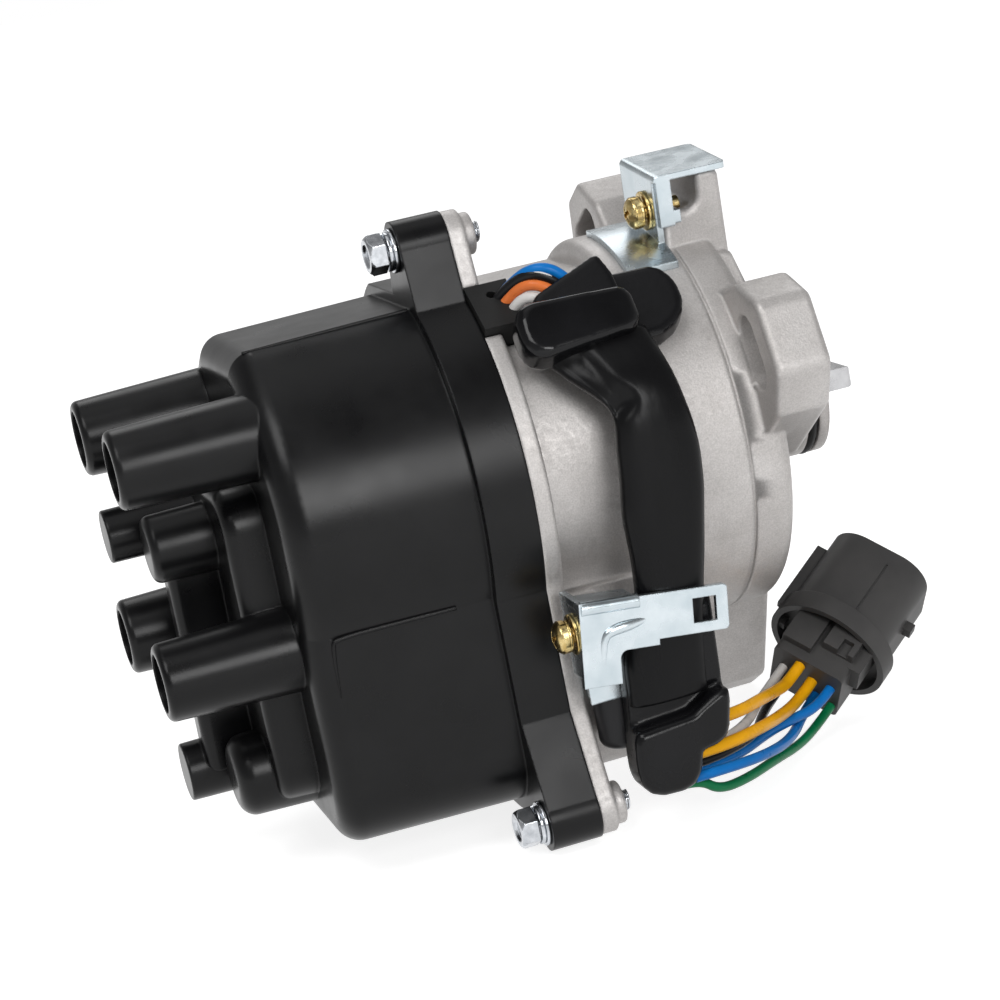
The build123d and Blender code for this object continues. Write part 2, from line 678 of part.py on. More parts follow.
def inner_screws():
    shapes = []
    for angle in POST_ANGLES:
        shapes.append(screw(INNER_SCREW_R, 2.4, 1.8, SEAM_X - SHIELD_T, 8, polar(POST_AT_R - 1.5, angle)))
    for y in (-1, 1):
        at = (y * (CORE_Y - CORE_BAR / 2), sum(CORE_Z) / 2)
        shapes.append(screw(INNER_SCREW_R, 2.6, 2.0, CORE_X[0], CORE_X[1] - CORE_X[0] + 7, at))
    for y in (-1, 1):
        at = (y * (IGNITER[3] - 4), (IGNITER[4] + IGNITER[5]) / 2)
        shapes.append(screw(INNER_SCREW_R, 2.4, 1.8, IGNITER[0], IGNITER[1] - IGNITER[0] + 3, at))
    for angle in PICKUP_ANGLES:
        at = polar(SENSOR_PLATE_R - 3, angle + 60)
        shapes.append(screw(INNER_SCREW_R, 2.4, 1.8, CAVITY_FLOOR_X - SENSOR_PLATE_T, 7, at))
    return solids_of(shapes)


# Brackets
def lower_bracket():
    """Bent sheet: a screw flange, a plate with a rounded lip on top, an arm with a square window, a leg."""
    x0, x1 = LOWER_X
    top = LOWER_TOP_Z
    leg_w, leg_h = LOWER_LEG
    low = top - ARM_H - ARM_STEP
    outline = Polygon((x0, top), (x0, top - leg_h), (x0 + leg_w, top - leg_h), (x0 + leg_w, low),
                      (x0 + LOWER_STEP_L, low), (x0 + LOWER_STEP_L, top - ARM_H), (x1, top - ARM_H), (x1, top),
                      align=None)
    outline = fillet(outline.vertices().group_by(Axis.X)[-1], 1)
    outline = fillet(outline.vertices().sort_by_distance((x0 + leg_w, low))[0], 1.8)
    window = Pos(x1 - 2.6 - WINDOW / 2, top - ARM_H / 2) * Rectangle(WINDOW, WINDOW)
    front = Plane(origin=(0, LOWER_Y, 0), x_dir=(1, 0, 0), z_dir=(0, -1, 0))
    plate = extrude(front * (outline - window), amount=-SHEET_T)
    lip = block(x0, x0 + LIP_L, LOWER_Y, LOWER_Y + LIP_W, top - SHEET_T, top)
    lip = fillet(lip.edges().filter_by(Axis.X).group_by(Axis.Z)[-1].sort_by(Axis.Y)[0], SHEET_T * 0.9)
    flange = block(x0, x0 + SHEET_T, LOWER_Y, LOWER_SCREW[0] + 6, top - leg_h, top)
    flange -= rod(BRACKET_SCREW_R + 0.1, x0, x0 + SHEET_T, LOWER_SCREW)
    return Pos(x0, 0, top) * Rot(0, LOWER_TILT, 0) * Pos(-x0, 0, -top) * (plate + lip) + flange


def upper_bracket():
    """Bent sheet over the top block: a foot, an upright with a side flange, and a top plate."""
    x1, y0, y1, z1 = BLOCK[0], BLOCK[2], BLOCK[3], BLOCK[5] + SHEET_T
    x0 = x1 - SHEET_T
    foot = ring(BASE_R + SHEET_T, BASE_R + 0.03, x0 - FOOT_L, x1) & block(x0 - FOOT_L, x1, *FOOT_Y, 30, z1)
    upright = block(x0, x1, y0, y1, BASE_R - 6, z1)
    top = block(x0, BLOCK[1] + 1.2, y0 - 1.5, y1, z1 - SHEET_T, z1)
    top = fillet(top.edges().filter_by(Axis.Z).group_by(Axis.X)[-1], 1.2)
    folded = upright + top
    bend = folded.edges().filter_by(Axis.Y).group_by(Axis.Z)[-1].sort_by(Axis.X)[0]
    folded = fillet(bend, SHEET_T * 0.9)
    side = block(x0 + 0.5, x0 + SIDE_W, y0 - SHEET_T, y0, SIDE_Z, z1 - SHEET_T)
    side += block(x0 + SIDE_W - 1, x0 + SIDE_W + 1.5, y0 - SHEET_T, y0, SIDE_Z + 0.5, SIDE_Z + 3.5)
    hole = rod(BRACKET_SCREW_R + 0.1, x0, x1, UPPER_SCREW)
    return Rot(TOP_LEAN, 0, 0) * (foot + folded + side - hole - rod(BASE_R + 0.03, x0, x1))


def bracket_places():
    """Each bracket screw's seat on its bracket, its place in Y and Z, and the lean of what it holds."""
    return [(LOWER_X[0], LOWER_SCREW, 0), (BLOCK[0] - SHEET_T, UPPER_SCREW, TOP_LEAN)]


def bracket_screws():
    stack = 0.8 + 1.2
    return solids_of([Rot(lean, 0, 0) * screw(BRACKET_SCREW_R, BRACKET_HEAD_R, 3.0, x - stack, stack + 8, at)
                      for x, at, lean in bracket_places()])


def bracket_washers():
    shapes = []
    for x, at, lean in bracket_places():
        shapes.append(Rot(lean, 0, 0) * ring(4.5, BRACKET_SCREW_R + 0.1, x - 0.8, x, at))
        shapes.append(Rot(lean, 0, 0) * split_washer(BRACKET_SCREW_R, x - 2.0, x - 0.8, at))
    return solids_of(shapes)


def condenser():
    z0, z1 = CONDENSER_Z
    can = Pos(*CONDENSER_AT, (z0 + z1) / 2) * Cylinder(CONDENSER_R, z1 - z0)
    return fillet(can.faces().sort_by(Axis.Z)[0].edges(), 2.5)


def condenser_strap():
    """Sheet clip round the condenser's top, with a tab that reaches the lower bracket's screw flange."""
    z1 = CONDENSER_Z[1]
    x, y = CONDENSER_AT
    outer = CONDENSER_R + STRAP_T
    band = Pos(x, y, z1 - 4) * (Cylinder(outer, 7) - Cylinder(CONDENSER_R, 7))
    return band + block(LOWER_X[0] + SHEET_T, x, y - outer, y - outer + STRAP_T, z1 - 7.5, z1 + 2.5)


# Harness
def wire_grommet():
    hole = Pos(GROMMET[0] + 5, GROMMET[3], -3) * Rot(90, 0, 0) * Cylinder(1.1, 6)
    return grommet_box() - Rot(GROMMET_ANGLE, 0, 0) * hole


def upper_boot():
    """Moulded boot over the leads: a block on the outside, a slab over its mouth and a tail on the base."""
    boot = []
    for (angle, *limits), edge in ((BOOT_BLOCK, 2), (BOOT_SLAB, 2), (BOOT_TAIL, 2.4)):
        piece = block(*limits)
        boot.append(Rot(angle, 0, 0) * fillet(piece.edges(), edge))
    return boot[0] + boot[1] + boot[2] - harness_sleeve()


def harness_sleeve():
    """Flattened plastic sleeve down the near side."""
    spots = [Vector(*p) for p in SLEEVE_LINE]
    line = FilletPolyline(*spots, radius=arc_radii(spots))
    band = along(trace(line, line_width=SLEEVE_T), -SLEEVE_W / 2, SLEEVE_W / 2)
    band = fillet(band.faces().sort_by(Axis.X)[0].edges() + band.faces().sort_by(Axis.X)[-1].edges(), 2.5)
    return Pos(SLEEVE_X, 0, 0) * Rot(0, SLEEVE_LEAN, 0) * band


def drifting_block(x0, x1, y0, y1, z0, z1):
    """A block whose limits along X hold at its top, and move towards the cap further down."""
    drift = (z1 - z0) * BOOT_DRIFT
    side = Polygon((x0 - drift, z0), (x1 - drift, z0), (x1, z1), (x0, z1), align=None)
    return Pos(0, y1, 0) * extrude(Plane.XZ * side, amount=y1 - y0)


def lower_boot():
    """Moulded boot at the sleeve's foot: a tall body, and a shorter hood on the side where wires leave."""
    body = drifting_block(*LOWER_BOOT)
    body = fillet(body.edges().filter_by(Axis.Y).group_by(Axis.Z)[0], 4)
    body = fillet(body.edges().group_by(Axis.Y)[0] + body.edges().group_by(Axis.Y)[-1], 1.5)
    hood = drifting_block(*LOWER_HOOD)
    hood = fillet(hood.edges().group_by(Axis.Y)[0] + hood.edges().group_by(Axis.Y)[-1], 1.5)
    boot = body + hood
    for points, spot, r in WIRES.values():
        start = points[0]
        boot -= rod(r, start[0], start[0] + 6, start[1:])
    return boot - harness_sleeve()


def connector_plane(distance=0.0):
    """The plane square to the connector's axis, at a distance from its rear face."""
    return Plane(origin=CONNECTOR_REAR + CONNECTOR_AXIS * distance, x_dir=CONNECTOR_TURN, z_dir=CONNECTOR_AXIS)


def connector_bar(at_x, at_y, wide, high, start, end):
    """A bar along the connector's axis."""
    return extrude(connector_plane(start) * Pos(at_x, at_y) * Rectangle(wide, high), amount=end - start)


def connector_body():
    """Connector: a stepped rear with slots, a hollow skirt, and an open square barrel with latch rails."""
    x0, x1 = SKIRT_X
    half = CONNECTOR_W / 2
    body = extrude(connector_plane() * RectangleRounded(18, 16, 1.5), amount=x1)
    body += connector_bar(-4.8, -8.6, 7.4, 3.0, 2.5, x1)
    body += connector_bar(4.4, -8.8, 7.8, 3.6, 5.5, x1)
    body += connector_bar(9.6, -4.5, 3.4, 7.0, 4.0, x1)
    body -= connector_bar(5.6, -9.8, 2.6, 2.0, 5.5, 9.0)
    skirt = extrude(connector_plane(x0) * Circle(SKIRT_R), amount=x1 - x0)
    skirt -= extrude(connector_plane(x0) * Circle(SKIRT_R - 1.6), amount=x1 - x0 - 1.8)
    body += skirt
    barrel = extrude(connector_plane(x1 - 1) * RectangleRounded(CONNECTOR_W, CONNECTOR_W, 8), amount=CONNECTOR_L - x1 + 1)
    room = CONNECTOR_W - 2 * CONNECTOR_WALL
    barrel -= extrude(connector_plane(x1 + 3) * RectangleRounded(room, room, 6), amount=CONNECTOR_L - x1 - 3)
    barrel -= connector_bar(3.0, -half, 0.5, 0.7, x1 + 1, CONNECTOR_L - 4)
    body += barrel
    body += connector_bar(-half - 1, -4.8, 3.0, 2.0, x0 + 2, 31)
    body += connector_bar(-half - 1, 1.6, 3.0, 2.0, x0 + 1, 27)
    body += connector_bar(half + 0.8, -1.5, 2.6, 2.6, 23.5, 26)
    return body - connector_terminals()


def connector_terminals():
    pins = []
    for row in (-1, 0, 1):
        for step in (-1, 0, 1):
            pins.append(connector_bar(4.5 * step, 4.5 * row, 1.6, 0.8, 8, CONNECTOR_L - 8))
    return solids_of(pins)


def arc_radii(spots):
    """The radius at each corner of a route: as large as its two runs allow."""
    radii = []
    for before, here, after in zip(spots, spots[1:], spots[2:]):
        into, out = here - before, after - here
        radii.append(0.45 * min(into.length, out.length) / tan(radians(into.get_angle(out) / 2)))
    return radii


def cord(points, name, r):
    """A round wire along straight runs joined by arcs."""
    spots = [Vector(*p) for p in points]
    radii = arc_radii(spots)
    line = FilletPolyline(*spots, radius=radii)
    tube = sweep(Plane(line @ 0, z_dir=line % 0) * Circle(r), path=line)
    share = tube.volume / (pi * r ** 2 * line.length)
    print(name, "length", round(line.length, 1), "radii", [round(r, 1) for r in radii], "volume", round(share, 3))
    return tube


# Each inner lead's route: along X, out from the shaft and sideways, in the grommet's own lean
LEADS = {
    "lead_blue": [(-57.7, 45.0, -4.5), (-55.4, 45.7, -4.4), (-53.3, 47.1, -3.0), (-51.4, 49.3, -1.6)],
    "lead_black": [(-57.7, 45.0, -1.7), (-55.4, 45.7, -1.6), (-53.3, 47.1, -0.3), (-51.4, 49.3, 1.2)],
    "lead_orange": [(-57.7, 45.0, 1.1), (-55.4, 45.7, 1.2), (-53.3, 47.1, 2.5), (-51.4, 49.3, 4.0)],
    "lead_white": [(-57.7, 45.0, 3.9), (-55.4, 45.7, 4.0), (-53.3, 47.1, 5.3), (-51.4, 49.3, 6.8)],
}


def lead(name):
    lean = radians(GROMMET_ANGLE)
    route = [(x, out * cos(lean) - side * sin(lean), out * sin(lean) + side * cos(lean))
             for x, out, side in LEADS[name]]
    return cord(route, name, LEAD_R)


def rear_spot(across_by, up_by):
    """A point on the connector's rear face."""
    spot = connector_plane() * Pos(across_by, up_by)
    return tuple(spot.position)


# Each harness wire: its first points from the lower boot, where it enters the connector, and its radius
WIRES = {
    "wire_yellow_a": ([(-41.5, -55.5, -55.6), (-34.5, -55.5, -55.6), (-23.0, -44.5, -56.8), (-17.0, -33.0, -58.6)],
                      (-2.0, -5.4), 1.4),
    "wire_yellow_b": ([(-47.5, -58.4, -61.0), (-39.5, -58.4, -61.0), (-26.0, -49.5, -61.8), (-16.0, -34.0, -64.2)],
                      (1.6, -1.6), 1.4),
    "wire_white": ([(-47.5, -53.3, -62.4), (-41.0, -53.3, -62.4), (-29.0, -45.0, -62.4), (-21.0, -31.5, -62.8)],
                   (-6.0, -1.2), 1.1),
    "wire_black": ([(-47.5, -56.0, -64.0), (-41.0, -56.0, -64.0), (-28.0, -46.6, -64.8), (-20.0, -30.5, -66.0)],
                   (-4.6, 2.6), 1.1),
    "wire_blue_a": ([(-47.5, -53.2, -66.2), (-42.0, -53.2, -66.2), (-33.0, -48.0, -67.6), (-22.0, -37.6, -68.2),
                     (-14.5, -33.2, -68.4)], (6.4, -2.6), 1.2),
    "wire_blue_b": ([(-47.5, -58.9, -66.0), (-42.0, -58.9, -66.0), (-29.0, -53.4, -67.6), (-17.0, -38.6, -71.0)],
                    (3.2, 3.2), 1.2),
    "wire_green": ([(-49.5, -56.0, -67.9), (-45.6, -56.0, -67.9), (-41.4, -55.4, -71.6), (-33.0, -50.6, -72.6),
                    (-23.0, -42.0, -73.4), (-13.0, -32.5, -75.0)], (7.4, 4.2), 1.1),
}


def wire(name):
    points, (across_by, up_by), r = WIRES[name]
    end = Vector(*rear_spot(across_by, up_by))
    before = end - CONNECTOR_AXIS * 6
    return cord([*points, tuple(before), tuple(end)], name, r)


PARTS = {
    "distributor_cap": distributor_cap,
    "cap_seal": cap_seal,
    "cap_screws": cap_screws,
    "cap_spring_washers": cap_spring_washers,
    "cap_flat_washers": cap_flat_washers,
    "tower_terminals": tower_terminals,
    "coil_lead_bar": coil_lead_bar,
    "carbon_brush": carbon_brush,
    "brush_spring": brush_spring,
    "rotor_arm": rotor_arm,
    "rotor_blade": rotor_blade,
    "rotor_screw": rotor_screw,
    "dust_shield": dust_shield,
    "housing": housing,
    "shaft": shaft,
    "bearing_outer_ring": bearing_outer_ring,
    "bearing_inner_ring": bearing_inner_ring,
    "bearing_balls": bearing_balls,
    "bearing_cage": bearing_cage,
    "oil_seal": oil_seal,
    "shaft_bush": shaft_bush,
    "coupling": coupling,
    "coupling_pin": coupling_pin,
    "coupling_spring": coupling_spring,
    "o_ring": o_ring,
    "cylinder_reluctor": lambda: reluctor(0),
    "tdc_reluctor": lambda: reluctor(1),
    "crank_reluctor": lambda: reluctor(2),
    "pickup_coils": pickup_coils,
    "sensor_plate": sensor_plate,
    "ignition_coil": ignition_coil,
    "coil_core": coil_core,
    "coil_terminal": coil_terminal,
    "igniter_module": igniter_module,
    "inner_screws": inner_screws,
    "lower_bracket": lower_bracket,
    "upper_bracket": upper_bracket,
    "bracket_screws": bracket_screws,
    "bracket_washers": bracket_washers,
    "condenser": condenser,
    "condenser_strap": condenser_strap,
    "wire_grommet": wire_grommet,
    "upper_boot": upper_boot,
    "harness_sleeve": harness_sleeve,
    "lower_boot": lower_boot,
    "connector_body": connector_body,
    "connector_terminals": connector_terminals,
}

os.makedirs("parts", exist_ok=True)
for name, make in PARTS.items():
    export_step(make(), f"parts/{name}.step")
for name in LEADS:
    export_step(lead(name), f"parts/{name}.step")
for name in WIRES:
    export_step(wire(name), f"parts/{name}.step")
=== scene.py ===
# %% [markdown]
# A car's ignition distributor, lying on a pale table. The hard pieces come from a packed engineering
# model, which is loaded first and never moved. Everything made here sits in that same space, in metres:
# +X runs along the shaft from the black cap to the engine, and +Z is up.

# %% Load the frame
import math

import bmesh
import bpy
from mathutils import Matrix, Quaternion, Vector


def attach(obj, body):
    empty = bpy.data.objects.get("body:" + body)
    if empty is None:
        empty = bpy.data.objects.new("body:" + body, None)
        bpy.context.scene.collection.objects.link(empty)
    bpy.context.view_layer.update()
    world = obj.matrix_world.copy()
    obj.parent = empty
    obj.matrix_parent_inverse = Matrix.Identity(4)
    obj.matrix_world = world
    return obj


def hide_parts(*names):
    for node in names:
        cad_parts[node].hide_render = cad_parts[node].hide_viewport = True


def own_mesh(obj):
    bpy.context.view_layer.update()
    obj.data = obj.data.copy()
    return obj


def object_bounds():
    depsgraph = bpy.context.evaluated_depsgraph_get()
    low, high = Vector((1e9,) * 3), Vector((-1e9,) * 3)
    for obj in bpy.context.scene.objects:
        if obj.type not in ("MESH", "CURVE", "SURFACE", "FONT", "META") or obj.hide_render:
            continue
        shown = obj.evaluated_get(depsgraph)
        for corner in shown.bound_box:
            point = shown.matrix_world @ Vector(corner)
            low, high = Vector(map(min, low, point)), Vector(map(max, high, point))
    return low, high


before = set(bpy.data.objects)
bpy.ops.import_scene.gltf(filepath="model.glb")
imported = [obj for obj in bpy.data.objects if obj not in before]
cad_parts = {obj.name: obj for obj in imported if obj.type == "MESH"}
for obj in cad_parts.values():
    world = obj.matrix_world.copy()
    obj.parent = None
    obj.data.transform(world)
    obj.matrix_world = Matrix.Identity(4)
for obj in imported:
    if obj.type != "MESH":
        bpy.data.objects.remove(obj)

MM = 0.001
CAD_BOX = [list(corner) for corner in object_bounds()]
print("the model is", [round((b - a) / MM) for a, b in zip(*CAD_BOX)], "mm")

# %% [markdown]
# The photograph was taken a little from above and from the left, with the camera turned so that the
# shaft rises to the right. A long lens keeps the shape true, as a product photographer would have it.

# %% Camera
LENS, SENSOR = 101.5, 36        # millimetres
AIM = Vector((-63.26, 0.0, -8.98)) * MM
STAND = Vector((-220.4, -615.7, 136.6)) * MM
LEAN = -11.29                   # degrees that the camera is turned about its own line of sight


def new_object(name, data):
    made = bpy.data.objects.new(name, data)
    bpy.context.collection.objects.link(made)
    return made


camera_data = bpy.data.cameras.new("camera")
camera_data.lens = LENS
camera_data.sensor_width = SENSOR
camera = new_object("camera", camera_data)
camera.location = STAND
camera.rotation_mode = "QUATERNION"
camera.rotation_quaternion = ((AIM - STAND).to_track_quat("-Z", "Y")
                              @ Quaternion((0, 0, 1), math.radians(LEAN)))
bpy.context.scene.camera = camera
print("the camera is", round((AIM - STAND).length / MM), "mm away")

# %% [markdown]
# The short harness ends in a connector. Each wire is one smooth curve: a NURBS line whose control
# points are the route that the engineering model's tube follows, given a round section. The wires are
# soft, so they bow a little between the rubber boot and the connector. They come before the studio,
# because their lengths are checked first.

# %% Where the wires enter the connector
REAR = Vector((-5.1, -21.3, -64.4))                 # the middle of its rear face, in millimetres
AXIS = Vector((0.80, 0.40, 0.45)).normalized()      # the way that its mouth points
TURN = Vector((0.597, -0.606, -0.527))
ACROSS = (TURN - AXIS * TURN.dot(AXIS)).normalized()
UPWARDS = AXIS.cross(ACROSS)
STRAIGHT = 6        # millimetres of each wire's end that point straight in


def rear_spot(across_by, up_by, behind=0.0):
    return REAR + ACROSS * across_by + UPWARDS * up_by - AXIS * behind


# %% The wires' routes, where each enters the connector, and its radius
ROUTES = {
    "wire_yellow_a": ([(-41.5, -55.5, -55.6), (-34.5, -55.5, -55.6), (-24.0, -45.0, -57.4),
                       (-16.6, -33.4, -60.6)], (-2.0, -5.4), 1.4),
    "wire_yellow_b": ([(-47.5, -58.4, -61.0), (-39.5, -58.4, -61.0), (-26.0, -49.5, -62.2),
                       (-15.6, -34.4, -65.8)], (1.6, -1.6), 1.4),
    "wire_white": ([(-47.5, -53.3, -62.4), (-41.0, -53.3, -62.4), (-29.0, -45.0, -62.4),
                    (-21.0, -31.5, -62.8)], (-6.0, -1.2), 1.1),
    "wire_black": ([(-47.5, -56.0, -64.0), (-41.0, -56.0, -64.0), (-28.0, -46.6, -64.8),
                    (-20.0, -30.5, -66.0)], (-4.6, 2.6), 1.1),
    "wire_blue_a": ([(-47.5, -53.2, -66.2), (-42.0, -53.2, -66.2), (-33.0, -48.0, -67.6),
                     (-22.0, -37.6, -68.2), (-14.5, -33.2, -68.4)], (6.4, -2.6), 1.2),
    "wire_blue_b": ([(-47.5, -58.9, -66.0), (-42.0, -58.9, -66.0), (-29.0, -53.4, -67.6),
                     (-17.0, -38.6, -71.0)], (3.2, 3.2), 1.2),
    "wire_green": ([(-49.5, -56.0, -67.9), (-45.6, -56.0, -67.9), (-41.4, -55.4, -71.6),
                    (-33.0, -50.6, -72.6), (-23.0, -42.0, -73.4), (-13.0, -32.5, -75.0)], (7.4, 4.2), 1.1),
}


def smooth_wire(name, points, radii):
    """A round wire on one smooth line that has these points as its control points, each with its radius,
    in millimetres. The bevel depth is 1, so that the curve's box, which counts the points' radii and
    not the depth, has the wire's real thickness."""
    curve = bpy.data.curves.new(name, "CURVE")
    curve.dimensions = "3D"
    curve.bevel_depth = 1.0
    curve.bevel_resolution = 5
    curve.use_fill_caps = True
    line = curve.splines.new("NURBS")
    line.points.add(len(points) - 1)
    for spot, point, radius in zip(line.points, points, radii):
        spot.co = (*(Vector(point) * MM), 1)
        spot.radius = radius * MM
    line.order_u = 3
    line.use_endpoint_u = True
    line.resolution_u = 10
    return new_object(name, curve)


wires = {}
for node_name, (points, (across_by, up_by), radius) in ROUTES.items():
    route = [*points, rear_spot(across_by, up_by, STRAIGHT), rear_spot(across_by, up_by)]
    piece = smooth_wire("smooth_" + node_name, route, [radius] * len(route))
    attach(piece, "housing_body")
    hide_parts(node_name)
    wires[node_name] = piece

# %% [markdown]
# Four thinner leads come out of the grommet in the housing and arch into the mouth of the upper boot.
# Both of their ends are held, so each is fastened to the housing. Each is a smooth line again.
# The boot leans back from the viewer, so its places are given by an angle round the shaft.

# %% Leads from the grommet to the boot
BOOT_ANGLE = 138
LEAD_RADIUS, STRIPE_RADIUS = 1.25, 0.375


def leaning(angle, x, out, side):
    """A point in millimetres: along the shaft, outwards at an angle round it, and sideways there."""
    a = math.radians(angle)
    return Vector((x, out * math.cos(a) - side * math.sin(a), out * math.sin(a) + side * math.cos(a)))


LEADS = {
    "lead_blue": [(-61.0, 46.5, -13.5), (-58.8, 50.5, -13.6), (-55.0, 56.0, -12.8), (-50.5, 56.8, -11.0),
                  (-46.5, 53.5, -7.5), (-44.0, 52.0, -5.0)],
    "lead_black": [(-61.5, 47.0, -13.0), (-59.3, 50.5, -13.2), (-55.5, 55.4, -12.2), (-51.5, 55.4, -10.0),
                   (-48.5, 53.2, -7.5), (-46.0, 51.5, -5.0)],
    "lead_orange": [(-62.0, 45.0, -11.0), (-60.0, 48.0, -11.5), (-57.0, 53.2, -11.0), (-53.5, 54.4, -9.0),
                    (-50.5, 53.0, -6.5), (-48.5, 52.0, -4.0)],
    "lead_white": [(-62.0, 43.0, -8.5), (-60.3, 46.0, -8.8), (-58.0, 51.3, -8.8), (-55.5, 53.2, -7.2),
                   (-53.5, 52.6, -5.0), (-52.0, 51.5, -3.0)],
}
leads = {}
for node_name, route in LEADS.items():
    piece = smooth_wire("smooth_" + node_name, [leaning(BOOT_ANGLE, *at) for at in route],
                        [LEAD_RADIUS] * len(route))
    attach(piece, "housing_body")
    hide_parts(node_name)
    leads[node_name] = piece
# the black one carries a white stripe, which is a thinner line along its outer side
stripe_route = [leaning(BOOT_ANGLE, x, out + 1.0, side + 0.1) for x, out, side in LEADS["lead_black"][1:-1]]
stripe = smooth_wire("lead_black_stripe", stripe_route, [STRIPE_RADIUS] * len(stripe_route))
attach(stripe, "housing_body")
print(len(leads), "leads")

# %% [markdown]
# A white sweep under soft boxes is the plainest studio there is. The camera sees the world as white,
# while a mirror sees it as a dim room with a bright ceiling, so that metal and gloss show their form.
# What the world adds to the light on the object stays low, so that each colour comes out about as it
# is written. The floor is half glow and half paint: where the object shades it, only the paint's half
# goes dark, as under a big light tent.

# %% World
def camera_or_mirror(nodes, links):
    """1 where the camera, a reflection or something clear looks, and 0 for plain light."""
    rays = nodes.new("ShaderNodeLightPath")
    total = rays.outputs["Is Camera Ray"]
    for other in ("Is Glossy Ray", "Is Transmission Ray"):
        both = nodes.new("ShaderNodeMath")
        both.operation = "MAXIMUM"
        links.new(total, both.inputs[0])
        links.new(rays.outputs[other], both.inputs[1])
        total = both.outputs[0]
    return total


def pale_world(light, low, seen):
    """light is what the world adds to the object, seen is what the camera sees, and low is the tone of
    the walls that a mirror sees."""
    world = bpy.data.worlds.new("studio")
    bpy.context.scene.world = world
    world.use_nodes = True
    nodes, links = world.node_tree.nodes, world.node_tree.links
    strength = nodes.new("ShaderNodeMapRange")
    strength.inputs["To Min"].default_value = light
    links.new(camera_or_mirror(nodes, links), strength.inputs["Value"])
    # the room is dim at eye level, darkest at the ceiling's edge and bright in its middle
    kinds = "TexCoord", "SeparateXYZ", "ValToRGB"
    where, split, height = (nodes.new("ShaderNode" + kind) for kind in kinds)
    ramp = height.color_ramp
    for position in (0.45, 0.88):
        ramp.elements.new(position)
    for element, tone in zip(ramp.elements, (1.8 * low, low, 0.5 * low, seen)):
        element.color = (tone, tone, tone, 1)
    links.new(where.outputs["Generated"], split.inputs["Vector"])
    links.new(split.outputs["Z"], height.inputs["Fac"])
    rays, pick = nodes.new("ShaderNodeLightPath"), nodes.new("ShaderNodeMix")
    links.new(rays.outputs["Is Camera Ray"], pick.inputs["Factor"])
    links.new(height.outputs["Color"], pick.inputs["A"])
    pick.inputs["B"].default_value = seen
    links.new(pick.outputs["Result"], strength.inputs["To Max"])
    nodes["Background"].inputs["Color"].default_value = (1, 1, 1, 1)
    links.new(strength.outputs["Result"], nodes["Background"].inputs["Strength"])
    print("the world lights with", light)


pale_world(light=0.40, low=0.35, seen=1.0)


# %% Floor
FLOOR_SIZE = 14             # metres
FLOOR_GAP = 0.4 * MM


def pale_floor(height, paint, glow):
    bpy.ops.mesh.primitive_plane_add(size=FLOOR_SIZE, location=(0, 0, height))
    floor = bpy.context.object
    floor.name = "floor"
    mat = bpy.data.materials.new("floor_white")
    mat.use_nodes = True
    nodes, links = mat.node_tree.nodes, mat.node_tree.links
    shader = nodes["Principled BSDF"]
    shader.inputs["Base Color"].default_value = (paint, paint, paint, 1)
    shader.inputs["Roughness"].default_value = 0.9
    shader.inputs["Specular IOR Level"].default_value = 0.0
    shader.inputs["Emission Color"].default_value = (1, 1, 1, 1)
    strength = nodes.new("ShaderNodeMath")
    strength.operation = "MULTIPLY"
    strength.inputs[1].default_value = glow
    links.new(camera_or_mirror(nodes, links), strength.inputs[0])
    links.new(strength.outputs[0], shader.inputs["Emission Strength"])
    floor.data.materials.append(mat)
    print("the floor is at", round(height / MM, 1), "mm")


pale_floor(height=CAD_BOX[0][2] - FLOOR_GAP, paint=0.50, glow=0.82)


# %% Lamps
def soft_box(name, place, size, power):
    """A rectangular lamp, its size in metres and its power in watts, which shines on what the camera
    looks at."""
    data = bpy.data.lights.new(name, "AREA")
    data.shape = "RECTANGLE"
    data.size, data.size_y = size
    data.energy = power
    lamp = new_object(name, data)
    lamp.location = place
    lamp.rotation_mode = "QUATERNION"
    lamp.rotation_quaternion = (AIM - lamp.location).to_track_quat("-Z", "Y")
    print("the", name, "lamp has", power, "W")


soft_box("key", (-0.50, -0.58, 0.94), (0.5, 0.6), 5.6)
soft_box("front", (0.02, -1.00, 0.34), (0.34, 0.36), 4.2)
soft_box("back", (0.15, 0.75, 0.75), (0.7, 0.5), 2.0)
bpy.context.scene.view_settings.view_transform = "Standard"

# %% [markdown]
# Every finish is a small tree of nodes over the Principled shader. A real surface is never one flat
# colour: its tone drifts a little, its gloss drifts more, and a fine grain breaks up the light. The
# patterns read Object coordinates, so a grain of half a millimetre is half a millimetre on every piece.

# %% Helpers for the finishes
FINISHES = {}
RAMP = (0.3, 0.7)       # noise rarely leaves this range, so its tones and numbers are spread over it


def new_finish(name):
    mat = bpy.data.materials.new(name)
    mat.use_nodes = True
    FINISHES[name] = mat
    return mat.node_tree.nodes, mat.node_tree.links, mat.node_tree.nodes["Principled BSDF"]


def pattern(nodes, links, size, detail, stretch=(1, 1, 1)):
    """Noise whose spots are about size across, in metres, stretched by the given factors."""
    place = nodes.new("ShaderNodeTexCoord")
    scale = nodes.new("ShaderNodeMapping")
    scale.inputs["Scale"].default_value = [1 / s for s in stretch]
    noise = nodes.new("ShaderNodeTexNoise")
    noise.inputs["Scale"].default_value = 1 / size
    noise.inputs["Detail"].default_value = detail
    links.new(place.outputs["Object"], scale.inputs["Vector"])
    links.new(scale.outputs["Vector"], noise.inputs["Vector"])
    return noise.outputs["Fac"]


def between(nodes, links, fac, low, high):
    """A number that drifts from low to high with a pattern."""
    change = nodes.new("ShaderNodeMapRange")
    for socket, value in zip(("From Min", "From Max", "To Min", "To Max"), (*RAMP, low, high)):
        change.inputs[socket].default_value = value
    links.new(fac, change.inputs["Value"])
    return change.outputs["Result"]


